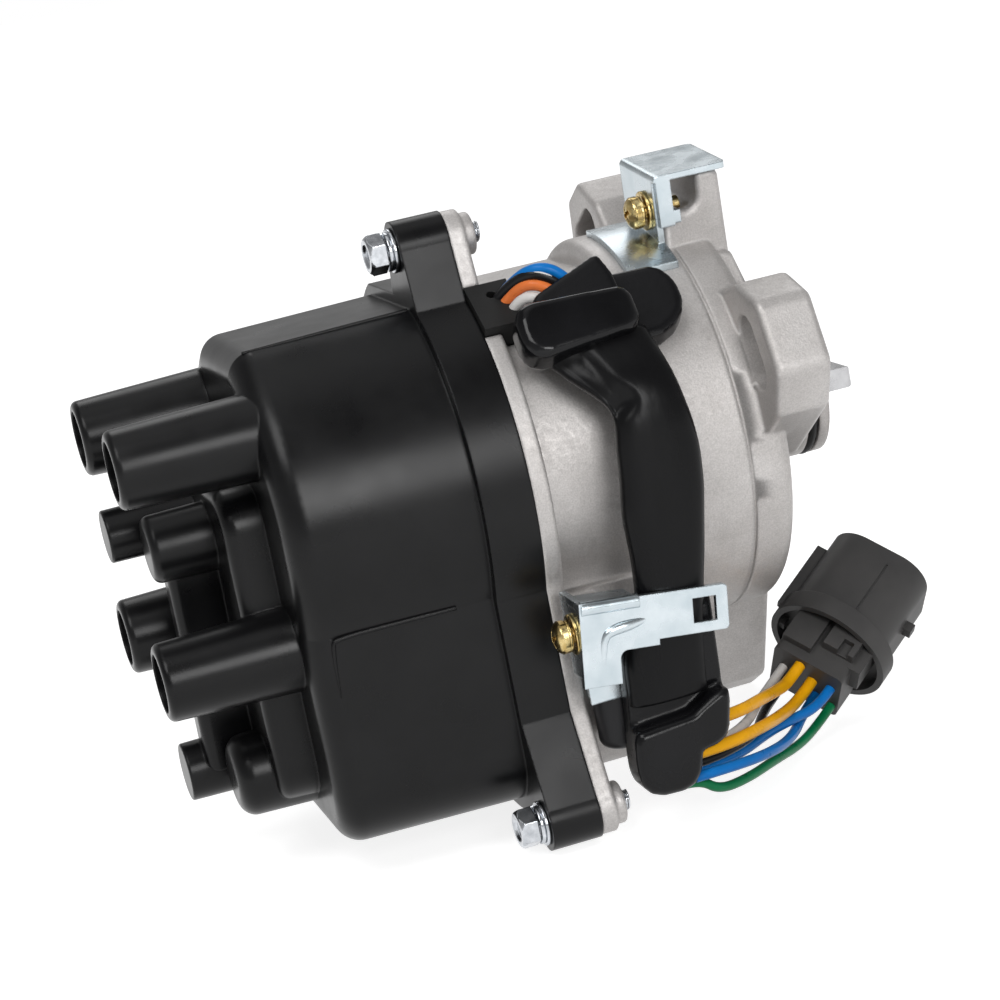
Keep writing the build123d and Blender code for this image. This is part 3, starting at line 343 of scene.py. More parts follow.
def tones(nodes, links, fac, dark, light):
    """A colour that drifts from dark to light with a pattern."""
    ramp = nodes.new("ShaderNodeValToRGB")
    for element, position, colour in zip(ramp.color_ramp.elements, RAMP, (dark, light)):
        element.position, element.color = position, (*colour, 1)
    links.new(fac, ramp.inputs["Fac"])
    return ramp.outputs["Color"]


def bump(nodes, links, height, depth, below):
    """Relief of about depth metres from a pattern, on top of another normal."""
    relief = nodes.new("ShaderNodeBump")
    relief.inputs["Distance"].default_value = depth
    links.new(height, relief.inputs["Height"])
    links.new(below, relief.inputs["Normal"])
    return relief.outputs["Normal"]


def worn_edges(nodes, radius):
    """Normals that turn softly round every edge, as if it were rounded by this radius."""
    edges = nodes.new("ShaderNodeBevel")
    edges.samples = 6
    edges.inputs["Radius"].default_value = radius
    return edges.outputs["Normal"]


def plain_finish(name, dark, light, rough, metallic=0.0, grain=0.5 * MM, depth=0.01 * MM, drift=12 * MM,
                 level=0.5, stretch=(1, 1, 1), edge=0.25 * MM):
    """Drifting tone, drifting gloss, a fine grain and edges that aren't sharp: enough for most surfaces."""
    nodes, links, shader = new_finish(name)
    slow = pattern(nodes, links, drift, 4, stretch)
    fine = pattern(nodes, links, grain, 2, stretch)
    links.new(tones(nodes, links, slow, dark, light), shader.inputs["Base Color"])
    links.new(between(nodes, links, slow, *rough), shader.inputs["Roughness"])
    links.new(bump(nodes, links, fine, depth, worn_edges(nodes, edge)), shader.inputs["Normal"])
    shader.inputs["Metallic"].default_value = metallic
    shader.inputs["Specular IOR Level"].default_value = level


# %% [markdown]
# The cap is a hard black moulding with a satin skin. Rubber is glossier and blacker, the sleeve is a
# thin soft plastic, and the connector is a dry dark grey. They differ mostly in gloss, not in colour,
# so one kind of tree serves for all of them.

# %% Plastics and rubber
BLACK_RUBBER = (0.004, 0.004, 0.0045), (0.007, 0.007, 0.008)
plain_finish("moulded_black", (0.003, 0.003, 0.0034), (0.006, 0.006, 0.0065), (0.26, 0.34),
             grain=0.6 * MM, depth=0.006 * MM, level=0.22, edge=0.7 * MM)
plain_finish("gloss_rubber", *BLACK_RUBBER, (0.10, 0.2), grain=1.5 * MM, depth=0.02 * MM, level=0.22)
plain_finish("satin_rubber", *BLACK_RUBBER, (0.2, 0.32), grain=1.5 * MM, depth=0.02 * MM, level=0.2)
plain_finish("seal_rubber", (0.008, 0.008, 0.008), (0.016, 0.016, 0.016), (0.5, 0.65), level=0.25)
plain_finish("sleeve_plastic", (0.003, 0.003, 0.0035), (0.006, 0.006, 0.0065), (0.24, 0.36),
             grain=3 * MM, depth=0.1 * MM, level=0.14, stretch=(1, 1, 3))
plain_finish("connector_grey", (0.044, 0.043, 0.043), (0.064, 0.062, 0.061), (0.42, 0.55),
             grain=0.4 * MM, depth=0.01 * MM, level=0.25)
plain_finish("rotor_plastic", (0.018, 0.018, 0.02), (0.03, 0.03, 0.032), (0.4, 0.5))
plain_finish("coil_plastic", (0.010, 0.010, 0.011), (0.016, 0.016, 0.018), (0.3, 0.45), level=0.25)
plain_finish("carbon", (0.02, 0.02, 0.02), (0.04, 0.04, 0.04), (0.6, 0.75), metallic=0.2)
print("plastics:", ", ".join(FINISHES))

# %% [markdown]
# Metals read by their reflections. Zinc plate is bright with a cold tint, its yellow kind is gold, and
# turned steel is cleaner and darker. The iron of the coil is a stack of thin sheets, so its pattern is
# stretched along them.

# %% Plated and turned metals
plain_finish("zinc_plate", (0.47, 0.535, 0.57), (0.61, 0.665, 0.695), (0.2, 0.32), metallic=1.0,
             grain=1.2 * MM, depth=0.008 * MM, drift=6 * MM, edge=0.5 * MM)
plain_finish("bright_zinc", (0.40, 0.42, 0.45), (0.66, 0.68, 0.71), (0.12, 0.22), metallic=1.0,
             grain=0.5 * MM, depth=0.008 * MM, drift=2 * MM)
plain_finish("gold_zinc", (0.44, 0.30, 0.10), (0.70, 0.56, 0.27), (0.16, 0.3), metallic=1.0,
             grain=0.4 * MM, depth=0.008 * MM, drift=1.5 * MM)
plain_finish("steel", (0.42, 0.42, 0.43), (0.56, 0.56, 0.57), (0.22, 0.36), metallic=1.0,
             grain=0.3 * MM, depth=0.004 * MM, drift=3 * MM)
plain_finish("lamination", (0.28, 0.28, 0.30), (0.40, 0.40, 0.42), (0.4, 0.5), metallic=1.0,
             grain=0.4 * MM, depth=0.02 * MM, drift=3 * MM, stretch=(12, 12, 1))
plain_finish("brass", (0.58, 0.43, 0.17), (0.74, 0.58, 0.26), (0.25, 0.38), metallic=1.0, drift=3 * MM)
print(len(FINISHES), "finishes so far")


# %% [markdown]
# Cast aluminium is blasted after casting, so its skin is pale, a little warm and covered in fine bright
# and dark specks. Slow darker clouds lie under them where the metal flowed. It is part mirror and part
# plain paint: a full metal would take all its light from the white room and lose its own shape.

# %% Cast metal
def cast_finish(name):
    nodes, links, shader = new_finish(name)
    slow = pattern(nodes, links, 16 * MM, 5)
    pebbles = pattern(nodes, links, 1.3 * MM, 3)
    specks = pattern(nodes, links, 0.36 * MM, 2)
    clouds = tones(nodes, links, slow, (0.42, 0.40, 0.388), (0.55, 0.53, 0.518))
    speckled = nodes.new("ShaderNodeMix")
    speckled.data_type, speckled.blend_type = "RGBA", "MULTIPLY"
    speckled.inputs["Factor"].default_value = 1.0
    links.new(clouds, speckled.inputs["A"])
    links.new(tones(nodes, links, specks, (0.88, 0.88, 0.88), (1.12, 1.12, 1.12)), speckled.inputs["B"])
    links.new(speckled.outputs["Result"], shader.inputs["Base Color"])
    links.new(between(nodes, links, pebbles, 0.42, 0.56), shader.inputs["Roughness"])
    skin = bump(nodes, links, pebbles, 0.04 * MM, worn_edges(nodes, 1.2 * MM))
    links.new(bump(nodes, links, specks, 0.03 * MM, skin), shader.inputs["Normal"])
    shader.inputs["Metallic"].default_value = 0.6
    print(name, "has", len(nodes), "nodes")


cast_finish("cast_metal")

# %% [markdown]
# Wire insulation is a soft glossy plastic in strong colours. Nothing but the colour differs from wire
# to wire, so one loop makes them all.

# %% Insulation
INSULATION = {"yellow": (0.93, 0.44, 0.005), "blue": (0.004, 0.17, 0.54), "white": (0.72, 0.70, 0.68),
              "black": (0.010, 0.010, 0.011), "green": (0.004, 0.20, 0.07), "orange": (0.80, 0.20, 0.05)}
DARKER = 0.85
for name, colour in INSULATION.items():
    plain_finish(name + "_insulation", [DARKER * c for c in colour], colour, (0.24, 0.36), grain=1 * MM,
                 depth=0.006 * MM, drift=5 * MM, level=0.18)
print(len(FINISHES), "finishes")

# %% [markdown]
# Each piece of the model takes its finish by name. The model gives every piece one material slot, and
# the new material goes there, so that the mesh itself stays as it came.

# %% Finishes on the model's pieces
WEARS = {
    "moulded_black": ["distributor_cap"],
    "seal_rubber": ["cap_seal", "oil_seal", "o_ring", "wire_grommet"],
    "bright_zinc": ["inner_screws", "rotor_screw"],
    "brass": ["tower_terminals", "coil_lead_bar", "rotor_blade", "shaft_bush", "bearing_cage",
              "coil_terminal", "connector_terminals"],
    "carbon": ["carbon_brush"],
    "steel": ["brush_spring", "shaft", "bearing_outer_ring", "bearing_inner_ring", "bearing_balls",
              "coupling", "coupling_pin", "coupling_spring", "cylinder_reluctor", "tdc_reluctor",
              "crank_reluctor"],
    "rotor_plastic": ["rotor_arm", "dust_shield"],
    "cast_metal": ["housing"],
    "coil_plastic": ["pickup_coils", "ignition_coil", "igniter_module", "condenser"],
    "zinc_plate": ["sensor_plate", "lower_bracket", "upper_bracket", "condenser_strap"],
    "lamination": ["coil_core"],
    "connector_grey": ["connector_body"],
}
for finish_name, wearers in WEARS.items():
    for node_name in wearers:
        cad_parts[node_name].material_slots[0].material = FINISHES[finish_name]
print(sum(map(len, WEARS.values())), "pieces have their finish")

# %% [markdown]
# Rubber mouldings have no sharp edge anywhere. Each boot is first put together from a few simple solids,
# the hulls of their corners, as a clay sketch would be. A voxel remesh melts them into one skin, and a
# smoothing pass rounds every edge by about the same small radius, which is how a moulding looks.

# %% Helpers for moulded rubber
VOXEL = 0.5             # millimetres, about a tenth of the thinnest slab
INSET = 1.3             # how much further a corner of the outer face is drawn in than the edge is lowered


def pillow(outline, low, high, soften, place):
    """The corners of a slab with this outline, whose outer face is drawn in all round."""
    middle = sum((Vector(corner) for corner in outline), Vector((0, 0))) / len(outline)
    points = []
    for x, side in outline:
        inset = Vector((x, side)) + (middle - Vector((x, side))).normalized() * soften * INSET
        points += [place(x, low, side), place(x, high - soften, side), place(inset.x, high, inset.y)]
    return points


def bake(piece):
    """Work the piece's modifiers into its mesh."""
    mesh = bpy.data.meshes.new_from_object(piece.evaluated_get(bpy.context.evaluated_depsgraph_get()))
    piece.modifiers.clear()
    piece.data = mesh
    print(piece.name, "has", len(mesh.polygons), "faces")


def mesh_object(name, bm):
    """A smooth-shaded object with the mesh that was worked on in bm."""
    mesh = bpy.data.meshes.new(name)
    bm.to_mesh(mesh)
    bm.free()
    for face in mesh.polygons:
        face.use_smooth = True
    return new_object(name, mesh)


def moulded(name, blocks, rounds):
    """One skin round several hulls, each a list of corners in millimetres, with its edges rounded."""
    bm = bmesh.new()
    for block in blocks:
        corners = [bm.verts.new(point * MM) for point in block]
        hull = bmesh.ops.convex_hull(bm, input=corners)
        bmesh.ops.delete(bm, geom=list({*hull["geom_interior"], *hull["geom_unused"]}), context="VERTS")
    piece = mesh_object(name, bm)
    melt = piece.modifiers.new("melt", "REMESH")
    melt.mode, melt.voxel_size, melt.use_smooth_shade = "VOXEL", VOXEL * MM, True
    rounding = piece.modifiers.new("rounding", "SMOOTH")
    rounding.factor, rounding.iterations = 0.5, rounds
    bake(piece)
    for face in piece.data.polygons:
        face.use_smooth = True
    return piece


# %% [markdown]
# A die-cast housing has no knife edges either. The model's housing is loose triangles with sharp
# corners, so a copy is merged, its flat parts are made whole faces, and its outer edges are bevelled:
# widely on the ears and the round base, and less on the cap flange and round the slots. Nothing grows
# by this, so the copy stays inside the model's own shape.

# %% Which edges of the housing are rounded
SLOT_CENTRES = [(157, 50.0), (62, 49.0), (-66, 72.5)]       # angle round the shaft, and reach from it
SLOT_SIZE = 9.6         # an edge whose middle is this near a slot's centre is the slot's own
INNER = 36              # edges nearer to the shaft than this are left sharp
BASE_FROM = -24.5       # the base and its ears start here along the shaft
FLANGE = -67.9, -55     # the cap flange lies between these
GROOVE = -18.4, -16.6   # and the parting groove, which stays sharp, between these
GROOVE_REACH = 47


def outer_edges(bm, wanted):
    """The outward edges of the casting whose middle, in millimetres, is wanted."""
    found = []
    for edge in bm.edges:
        if edge.calc_face_angle_signed() > math.radians(40):
            x, y, z = (edge.verts[0].co + edge.verts[1].co) / 2 / MM
            by_slot = any(math.hypot(y - r * math.cos(math.radians(a)), z - r * math.sin(math.radians(a)))
                          < SLOT_SIZE for a, r in SLOT_CENTRES)
            groove = GROOVE[0] < x < GROOVE[1] and math.hypot(y, z) < GROOVE_REACH
            if math.hypot(y, z) > INNER and not groove and wanted(x, by_slot):
                found.append(edge)
    return found


# %% Housing with cast edges
BEVELS = [
    (1.5, lambda x, by_slot: x > BASE_FROM and not by_slot),
    (0.5, lambda x, by_slot: x > BASE_FROM and by_slot),
    (0.6, lambda x, by_slot: FLANGE[0] < x < FLANGE[1]),
]


def cast_edges(source, name):
    bm = bmesh.new()
    bm.from_mesh(source.data)
    bmesh.ops.remove_doubles(bm, verts=bm.verts, dist=1e-6)
    bmesh.ops.dissolve_limit(bm, angle_limit=math.radians(0.5), verts=bm.verts, edges=bm.edges)
    for width, wanted in BEVELS:
        bmesh.ops.bevel(bm, geom=outer_edges(bm, wanted), offset=width * MM, offset_type="OFFSET",
                        segments=3, profile=0.5, affect="EDGES", clamp_overlap=False)
    piece = mesh_object(name, bm)
    piece.data.set_sharp_from_angle(angle=math.radians(32))
    normals = piece.modifiers.new("flat_faces_first", "WEIGHTED_NORMAL")
    normals.keep_sharp = True
    bake(piece)
    return piece


casting = cast_edges(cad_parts["housing"], "soft_edged_housing")
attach(casting, "housing_body")
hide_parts("housing")

# %% [markdown]
# The upper boot is three lumps on one rubber skirt: a long rounded block that points at the viewer, a
# slab whose slanted mouth swallows the leads, and a thin tail that lies on the round base behind it.

# %% Upper boot
def boot_place(turn):
    """How a slab's corners are placed on the boot, turned by some degrees round the shaft."""
    return lambda x, out, side: leaning(BOOT_ANGLE + turn, x, out, side)


block = pillow([(-64.0, -4.0), (-64.2, -1.0), (-63.9, 1.8), (-62.4, 4.2), (-59.8, 5.4), (-40.0, 3.6),
                (-38.2, 2.6), (-37.2, 0.6), (-37.2, -4.6), (-38.4, -6.6), (-40.0, -7.2), (-60.2, -8.2),
                (-62.8, -6.9)], 52.6, 60.6, 1.3, boot_place(6))
slab = pillow([(-57.6, -4.4), (-56.3, -5.6), (-40.6, -12.2), (-39.6, -11.8), (-38.2, -6.4), (-38.2, 0.0),
               (-57.6, 0.0)], 48.0, 57.0, 0.5, boot_place(0))
tail = pillow([(-40.0, -9.0), (-28.0, -8.8), (-25.8, -7.6), (-24.2, -5.0), (-23.5, -2.0), (-23.7, 1.5),
               (-25.0, 4.6), (-27.4, 7.2), (-31.0, 9.0), (-42.0, 9.4)], 46.0, 51.8, 0.6, boot_place(-1))
upper_boot = moulded("soft_upper_boot", [block, slab, tail], rounds=12)
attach(upper_boot, "housing_body")
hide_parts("upper_boot")

# %% [markdown]
# The lower boot is a cup that the sleeve stands in. Its front wall is low and its right wall is tall,
# up to behind the bracket. The wires leave from under a shorter hood. It is made as the upper one is.

# %% Lower boot
def facing(x, out, z):
    return Vector((x, -out, z))


cup = pillow([(-58.8, -52.2), (-59.8, -54.0), (-60.3, -58.6), (-60.4, -61.5), (-59.8, -64.4),
              (-58.3, -66.4), (-55.8, -67.5), (-50.8, -67.7), (-48.2, -66.9), (-46.2, -64.6),
              (-44.6, -58.6), (-43.2, -51.2), (-49.3, -53.2)], 53.0, 61.8, 1.1, facing)
hood = pillow([(-49.3, -53.2), (-44.6, -51.8), (-42.4, -49.8), (-40.8, -48.4), (-38.4, -47.5),
               (-36.8, -47.8), (-37.0, -51.0), (-38.0, -56.0), (-39.2, -58.4), (-41.2, -59.5),
               (-45.4, -60.2)], 52.0, 61.6, 1.1, facing)
wall = pillow([(-41.0, -26.6), (-35.6, -26.6), (-36.6, -49.0), (-41.5, -49.0)], 51.2, 57.6, 2.2, facing)
back = pillow([(-57.0, -31.5), (-39.4, -31.0), (-39.4, -55.0), (-44.6, -60.0), (-47.0, -65.8),
               (-57.0, -65.8), (-58.8, -54.0)], 50.8, 56.0, 1.0, facing)
lower_boot = moulded("soft_lower_boot", [cup, hood, wall, back], rounds=9)
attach(lower_boot, "housing_body")
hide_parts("lower_boot")

# %% [markdown]
# Between the boots the leads run in a flat plastic sleeve, which was bent and folded near its top. It
# could be sculpted by hand, but a loft is exact and quick to change: rings of points along its centre
# line, each as wide as the sleeve is there. The fold is a drawn line: to one side of it the sleeve's
# outer side is pressed in, and a small pocket sits at its corner.

# %% The sleeve's outline: places along the shaft and up, and two tables of height and edge
SLEEVE_LINE = [(-44.0, 30.0), (-46.6, 26.9), (-50.9, 22.6), (-53.4, 18.5), (-54.5, 12.0), (-54.9, 2.0),
               (-55.0, -8.0), (-55.2, -30.0), (-55.3, -48.0)]
SLEEVE_LEFT = [(30.0, -61.1), (28.3, -58.6), (24.8, -56.0), (19.8, -51.3), (15.9, -48.9), (12.9, -49.2),
               (8.6, -49.9), (2.2, -50.4), (-6.2, -51.6), (-15.9, -51.4), (-24.0, -51.9), (-33.0, -56.0),
               (-38.0, -57.4), (-48.0, -58.0)]
SLEEVE_RIGHT = [(30.0, -35.2), (23.4, -34.1), (17.3, -33.2), (10.5, -32.1), (5.0, -31.7), (-3.2, -32.3),
                (-16.6, -34.8), (-24.1, -36.5), (-35.2, -38.4), (-48.0, -40.0)]


def read_off(table, at):
    """The value at a height, on straight runs through (height, value) pairs from the top down."""
    for (z0, v0), (z1, v1) in zip(table, table[1:]):
        if at >= z1:
            return v0 + (v1 - v0) * min(1, (z0 - at) / (z0 - z1))
    return table[-1][1]


def softly(table, at, reach=2.0):
    """The same with its corners rounded off over a few millimetres."""
    return sum(read_off(table, at + reach * k / 3) for k in range(-3, 4)) / 7


print("the sleeve is", round(softly(SLEEVE_RIGHT, 0) - softly(SLEEVE_LEFT, 0), 1), "mm wide half way up")

# %% The crease's depth
CREASE = [Vector(at) for at in ((-49.6, 27.1), (-47.0, 21.7), (-45.1, 19.7), (-43.6, 18.0), (-43.8, 16.4),
                                (-46.1, 14.9), (-48.7, 12.9))]
FOLD_DEPTH, FOLD_WIDTH = 1.5, 2.2
POCKET, POCKET_DEPTH, POCKET_RADIUS = Vector((-47.2, 17.0)), 1.1, 2.2
FADE_LOW, FADE_HIGH, FADE = 10.0, 30.0, 4.0     # the fold fades out towards these two heights


def limited(value):
    return max(0.0, min(1.0, value))


def to_segment(point, start, end):
    """How far a point is from a straight run, and on which side of it."""
    run = end - start
    along = limited((point - start).dot(run) / run.length_squared)
    return (point - start - run * along).length, run.x * (point.y - start.y) - run.y * (point.x - start.x)


def crease(x, z):
    """How far the sleeve's outer side is pushed in near the fold, in millimetres."""
    spot = Vector((x, z))
    gap, side = min(to_segment(spot, a, b) for a, b in zip(CREASE, CREASE[1:]))
    inside = min(1.0, gap / FOLD_WIDTH) if side <= 0 else 0.0
    fades = limited((z - FADE_LOW) / FADE) * limited((FADE_HIGH - z) / FADE)
    pocket = math.exp(-((spot - POCKET).length / POCKET_RADIUS) ** 2)
    return fades * (FOLD_DEPTH * inside * inside * (3 - 2 * inside) + POCKET_DEPTH * pocket)


# %% Sleeve
HALF_THICK = 4.0
AROUND, STEP = 64, 0.8          # points in each ring, and millimetres from ring to ring
SQUARE_ACROSS, SQUARE_OUT = 0.8, 0.75       # 1 is an ellipse, and less is a squarer section


def signed_power(value, power):
    return math.copysign(abs(value) ** power, value)


def sleeve_ring(z):
    """The points of the sleeve's section at a height, in millimetres."""
    heights = [(up, along) for along, up in SLEEVE_LINE]
    y = softly(heights, z)
    slope = softly(heights, z + 0.5) - softly(heights, z - 0.5)
    out = Vector((0, -1, slope)).normalized()
    left, right = softly(SLEEVE_LEFT, z), softly(SLEEVE_RIGHT, z)
    for j in range(AROUND):
        angle = 2 * math.pi * j / AROUND
        c, s = math.cos(angle), math.sin(angle)
        x = (left + right) / 2 + (right - left) / 2 * signed_power(c, SQUARE_ACROSS)
        bulge = HALF_THICK * signed_power(s, SQUARE_OUT)
        if s > 0:
            bulge -= crease(x, z) * min(1, s * 2)
        yield Vector((x, y, z)) + out * bulge


def sleeve(name):
    top, bottom = SLEEVE_LINE[0][1], SLEEVE_LINE[-1][1]
    bm = bmesh.new()
    rings = [[bm.verts.new(point * MM) for point in sleeve_ring(top - k * STEP)]
             for k in range(int((top - bottom) / STEP) + 1)]
    for upper, lower in zip(rings, rings[1:]):
        for j in range(AROUND):
            k = (j + 1) % AROUND
            bm.faces.new((upper[j], upper[k], lower[k], lower[j]))
    bm.faces.new(rings[0][::-1])
    bm.faces.new(rings[-1])
    bmesh.ops.recalc_face_normals(bm, faces=bm.faces)
    piece = mesh_object(name, bm)
    for face in piece.data.polygons:
        face.use_smooth = len(face.vertices) == 4
    print(name, "has", len(piece.data.polygons), "faces")
    return piece


harness_sleeve = sleeve("soft_sleeve")
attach(harness_sleeve, "housing_body")
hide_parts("harness_sleeve")

# %% [markdown]
# A stiffening rib is pressed into the lower bracket: an L that stands a few tenths proud. The sheet's
# top edge is rolled, and catches the light from end to end. Each could be pushed up out of the sheet's
# mesh, but that mesh isn't changed here, so each is a round line whose far half is inside the sheet.

# %% Pressed rib and rolled edge
def pressed_line(name, points, radii, finish):
    """A raised line through these points, each with its radius, in millimetres."""
    piece = smooth_wire(name, points, radii)
    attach(piece, "housing_body")
    piece.data.materials.append(FINISHES[finish])
    print(name, "is", round(piece.data.splines[0].calc_length() / MM), "mm long")


pressed_line("bracket_rib", [(-52.6, -60.3, -27.9), (-55.5, -60.7, -28.1), (-60.2, -60.7, -28.3),
                             (-62.2, -60.6, -29.4), (-63.2, -60.5, -33.5), (-64.0, -60.3, -38.8)],
             [0.7, 1.35, 1.3, 1.0, 0.8, 0.4], "zinc_plate")
pressed_line("bracket_lip", [(-66.2, -59.9, -22.3), (-62.0, -59.9, -22.8), (-57.0, -59.9, -23.3),
                             (-53.2, -59.9, -23.7)], [1.7] * 4, "zinc_plate")

# %% [markdown]
# The cap carries two fine raised lines: one where its flat top begins and one where the round part meets
# the square lobe that holds the coil. Each is a thin bead, half sunk in the skin.

# %% Beads on the cap
pressed_line("cap_top_bead", [(-118.0, -17.3, 41.2), (-100.0, -17.4, 41.5), (-80.0, -17.5, 41.9)],
             [0.3, 0.5, 0.5], "moulded_black")
pressed_line("cap_lobe_bead", [(-88.0, -40.7, -20.1), (-100.0, -40.5, -20.0), (-114.8, -40.3, -20.0),
                               (-116.4, -40.2, -21.4), (-116.6, -40.1, -33.0)],
             [0.5, 0.55, 0.55, 0.5, 0.15], "moulded_black")

# %% [markdown]
# The spring behind the carbon brush gets shorter as the rotor pushes the brush back. Here it is a
# plain copy of the model's spring, at the model's length, with a mesh of its own.

# %% Brush spring
rigid_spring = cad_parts["brush_spring"]
coil = rigid_spring.data.copy()
coil.transform(rigid_spring.matrix_world)
live_spring = new_object("live_brush_spring", coil)
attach(live_spring, "housing_body")
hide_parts("brush_spring")
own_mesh(live_spring)

# %% [markdown]
# Screws and washers repeat, so they are made with Geometry Nodes: a few loose points mark the places, and
# each tree stands one screw or ring on every point, its head towards the cap. The trees are built here in
# code, with their sizes as named inputs. The result is baked to a plain mesh, because an exported model
# keeps no instances.

# %% Trees and their nodes
def new_tree(name, **sizes):
    """A tree with an input for each size, its group inputs by name, and its one output."""
    tree = bpy.data.node_groups.new(name, "GeometryNodeTree")
    tree.interface.new_socket("Places", in_out="INPUT", socket_type="NodeSocketGeometry")
    for label in sizes:
        tree.interface.new_socket(label, in_out="INPUT", socket_type="NodeSocketFloat")
    tree.interface.new_socket("Finish", in_out="INPUT", socket_type="NodeSocketMaterial")
    tree.interface.new_socket("Geometry", in_out="OUTPUT", socket_type="NodeSocketGeometry")
    return (tree, tree.nodes.new("NodeGroupInput").outputs,
            tree.nodes.new("NodeGroupOutput").inputs["Geometry"])


def feed(tree, socket, value):
    """Link a socket to another node's output, or set it to a constant."""
    if isinstance(value, bpy.types.NodeSocket):
        tree.links.new(value, socket)
    else:
        socket.default_value = value


def node(tree, kind, settings=None, **values):
    """A new node's first output. A value goes to the socket of its name, which has blanks for the _, and
    a list goes to a socket that takes several links."""
    made = tree.nodes.new(kind)
    for key, value in (settings or {}).items():
        setattr(made, key, value)
    for key, value in values.items():
        for one in value if isinstance(value, list) else [value]:
            feed(tree, made.inputs[key.replace("_", " ")], one)
    return made.outputs[0]


# %% What the trees have in common
def solid(tree, operation, **meshes):
    """Meshes joined or cut as solids."""
    return node(tree, "GeometryNodeMeshBoolean", {"operation": operation, "solver": "EXACT"}, **meshes)


def maths(tree, kind, a, b):
    made = tree.nodes.new("ShaderNodeMath")
    made.operation = kind
    for socket, value in zip(made.inputs, (a, b)):
        feed(tree, socket, value)
    return made.outputs[0]


def times(tree, value, factor):
    return maths(tree, "MULTIPLY", value, factor)


def lifted(tree, shape, height):
    """A shape moved up by a height."""
    offset = node(tree, "ShaderNodeCombineXYZ", Z=height)
    return node(tree, "GeometryNodeTransform", Geometry=shape, Translation=offset)


def stood(tree, sizes, shape):
    """The shape on every place with its top towards the cap, as one real mesh with a finish."""
    many = node(tree, "GeometryNodeInstanceOnPoints", Points=sizes["Places"], Instance=shape,
                Rotation=(0, math.radians(-90), 0))
    real = node(tree, "GeometryNodeRealizeInstances", Geometry=many)
    return node(tree, "GeometryNodeSetMaterial", Geometry=real, Material=sizes["Finish"])


# %% Putting a tree to use
EDGE_WIDTH, EDGE_ANGLE = 0.16 * MM, math.radians(35)


def on_places(name, tree, places, finish, **sizes):
    """Points at the places, in millimetres, with the tree on them, baked."""
    mesh = bpy.data.meshes.new(name)
    mesh.from_pydata([Vector(place) * MM for place in places], [], [])
    piece = new_object(name, mesh)
    modifier = piece.modifiers.new("tree", "NODES")
    modifier.node_group = tree
    values = {**{label: size * MM for label, size in sizes.items()}, "Finish": FINISHES[finish]}
    for item in tree.interface.items_tree:
        if item.in_out == "INPUT" and item.name in values:
            modifier[item.identifier] = values[item.name]
    edges = piece.modifiers.new("edges", "BEVEL")
    edges.width, edges.segments, edges.limit_method, edges.angle_limit = EDGE_WIDTH, 2, "ANGLE", EDGE_ANGLE
    bake(piece)
    return piece


# %% A hexagon bolt: head with a dished top, shank and a real thread
CHAMFER_WIDE, CHAMFER_NARROW = 0.98, 0.405      # the cone's radii, in widths across the flats
CHAMFER_TALL, CHAMFER_DROP = 1.3, 0.15          # its height and how far down it starts, in heads
DISH_WIDE, DISH_NARROW = 0.36, 0.26             # the dish's radii, in widths across the flats
DISH_TALL, DISH_DOWN = 0.8 * MM, 0.7 * MM
ROOT = 0.86                                     # the thread's root, in radii of the shank
PITCH, CREST = 0.9 * MM, 0.36 * MM


def bolt_tree():
    tree, sizes, result = new_tree("hexagon_bolt", Across=0, Head=0, Shank=0, Length=0)
    across, tall, long = sizes["Across"], sizes["Head"], sizes["Length"]
    corner = maths(tree, "DIVIDE", across, 2 * math.cos(math.radians(30)))
    prism = node(tree, "GeometryNodeMeshCylinder", Vertices=6, Radius=corner, Depth=tall)
    prism = lifted(tree, prism, times(tree, tall, 0.5))
    # a cone rounds the six corners off, as the real head's chamfer does
    chamfer = node(tree, "GeometryNodeMeshCone", Vertices=48, Radius_Top=times(tree, across, CHAMFER_NARROW),
                   Radius_Bottom=times(tree, across, CHAMFER_WIDE), Depth=times(tree, tall, CHAMFER_TALL))
    chamfer = lifted(tree, chamfer, times(tree, tall, -CHAMFER_DROP))
    head = solid(tree, "INTERSECT", Mesh_2=[prism, chamfer])
    dish = node(tree, "GeometryNodeMeshCone", Vertices=40, Radius_Top=times(tree, across, DISH_WIDE),
                Radius_Bottom=times(tree, across, DISH_NARROW), Depth=DISH_TALL)
    dish = lifted(tree, dish, maths(tree, "SUBTRACT", tall, DISH_DOWN))
    head = solid(tree, "DIFFERENCE", Mesh_1=head, Mesh_2=dish)
    root = times(tree, sizes["Shank"], ROOT)
    shank = node(tree, "GeometryNodeMeshCylinder", Vertices=32, Radius=root, Depth=long)
    shank = lifted(tree, shank, times(tree, long, -0.5))
    helix = node(tree, "GeometryNodeCurveSpiral", Resolution=20, Rotations=maths(tree, "DIVIDE", long, PITCH),
                 Start_Radius=root, End_Radius=root, Height=long)
    crest = node(tree, "GeometryNodeCurvePrimitiveCircle", Resolution=4, Radius=CREST)
    thread = node(tree, "GeometryNodeCurveToMesh", Curve=helix, Profile_Curve=crest, Fill_Caps=True)
    thread = lifted(tree, thread, times(tree, long, -1))
    whole = node(tree, "GeometryNodeJoinGeometry", Geometry=[thread, shank, head])
    tree.links.new(stood(tree, sizes, whole), result)
    return tree


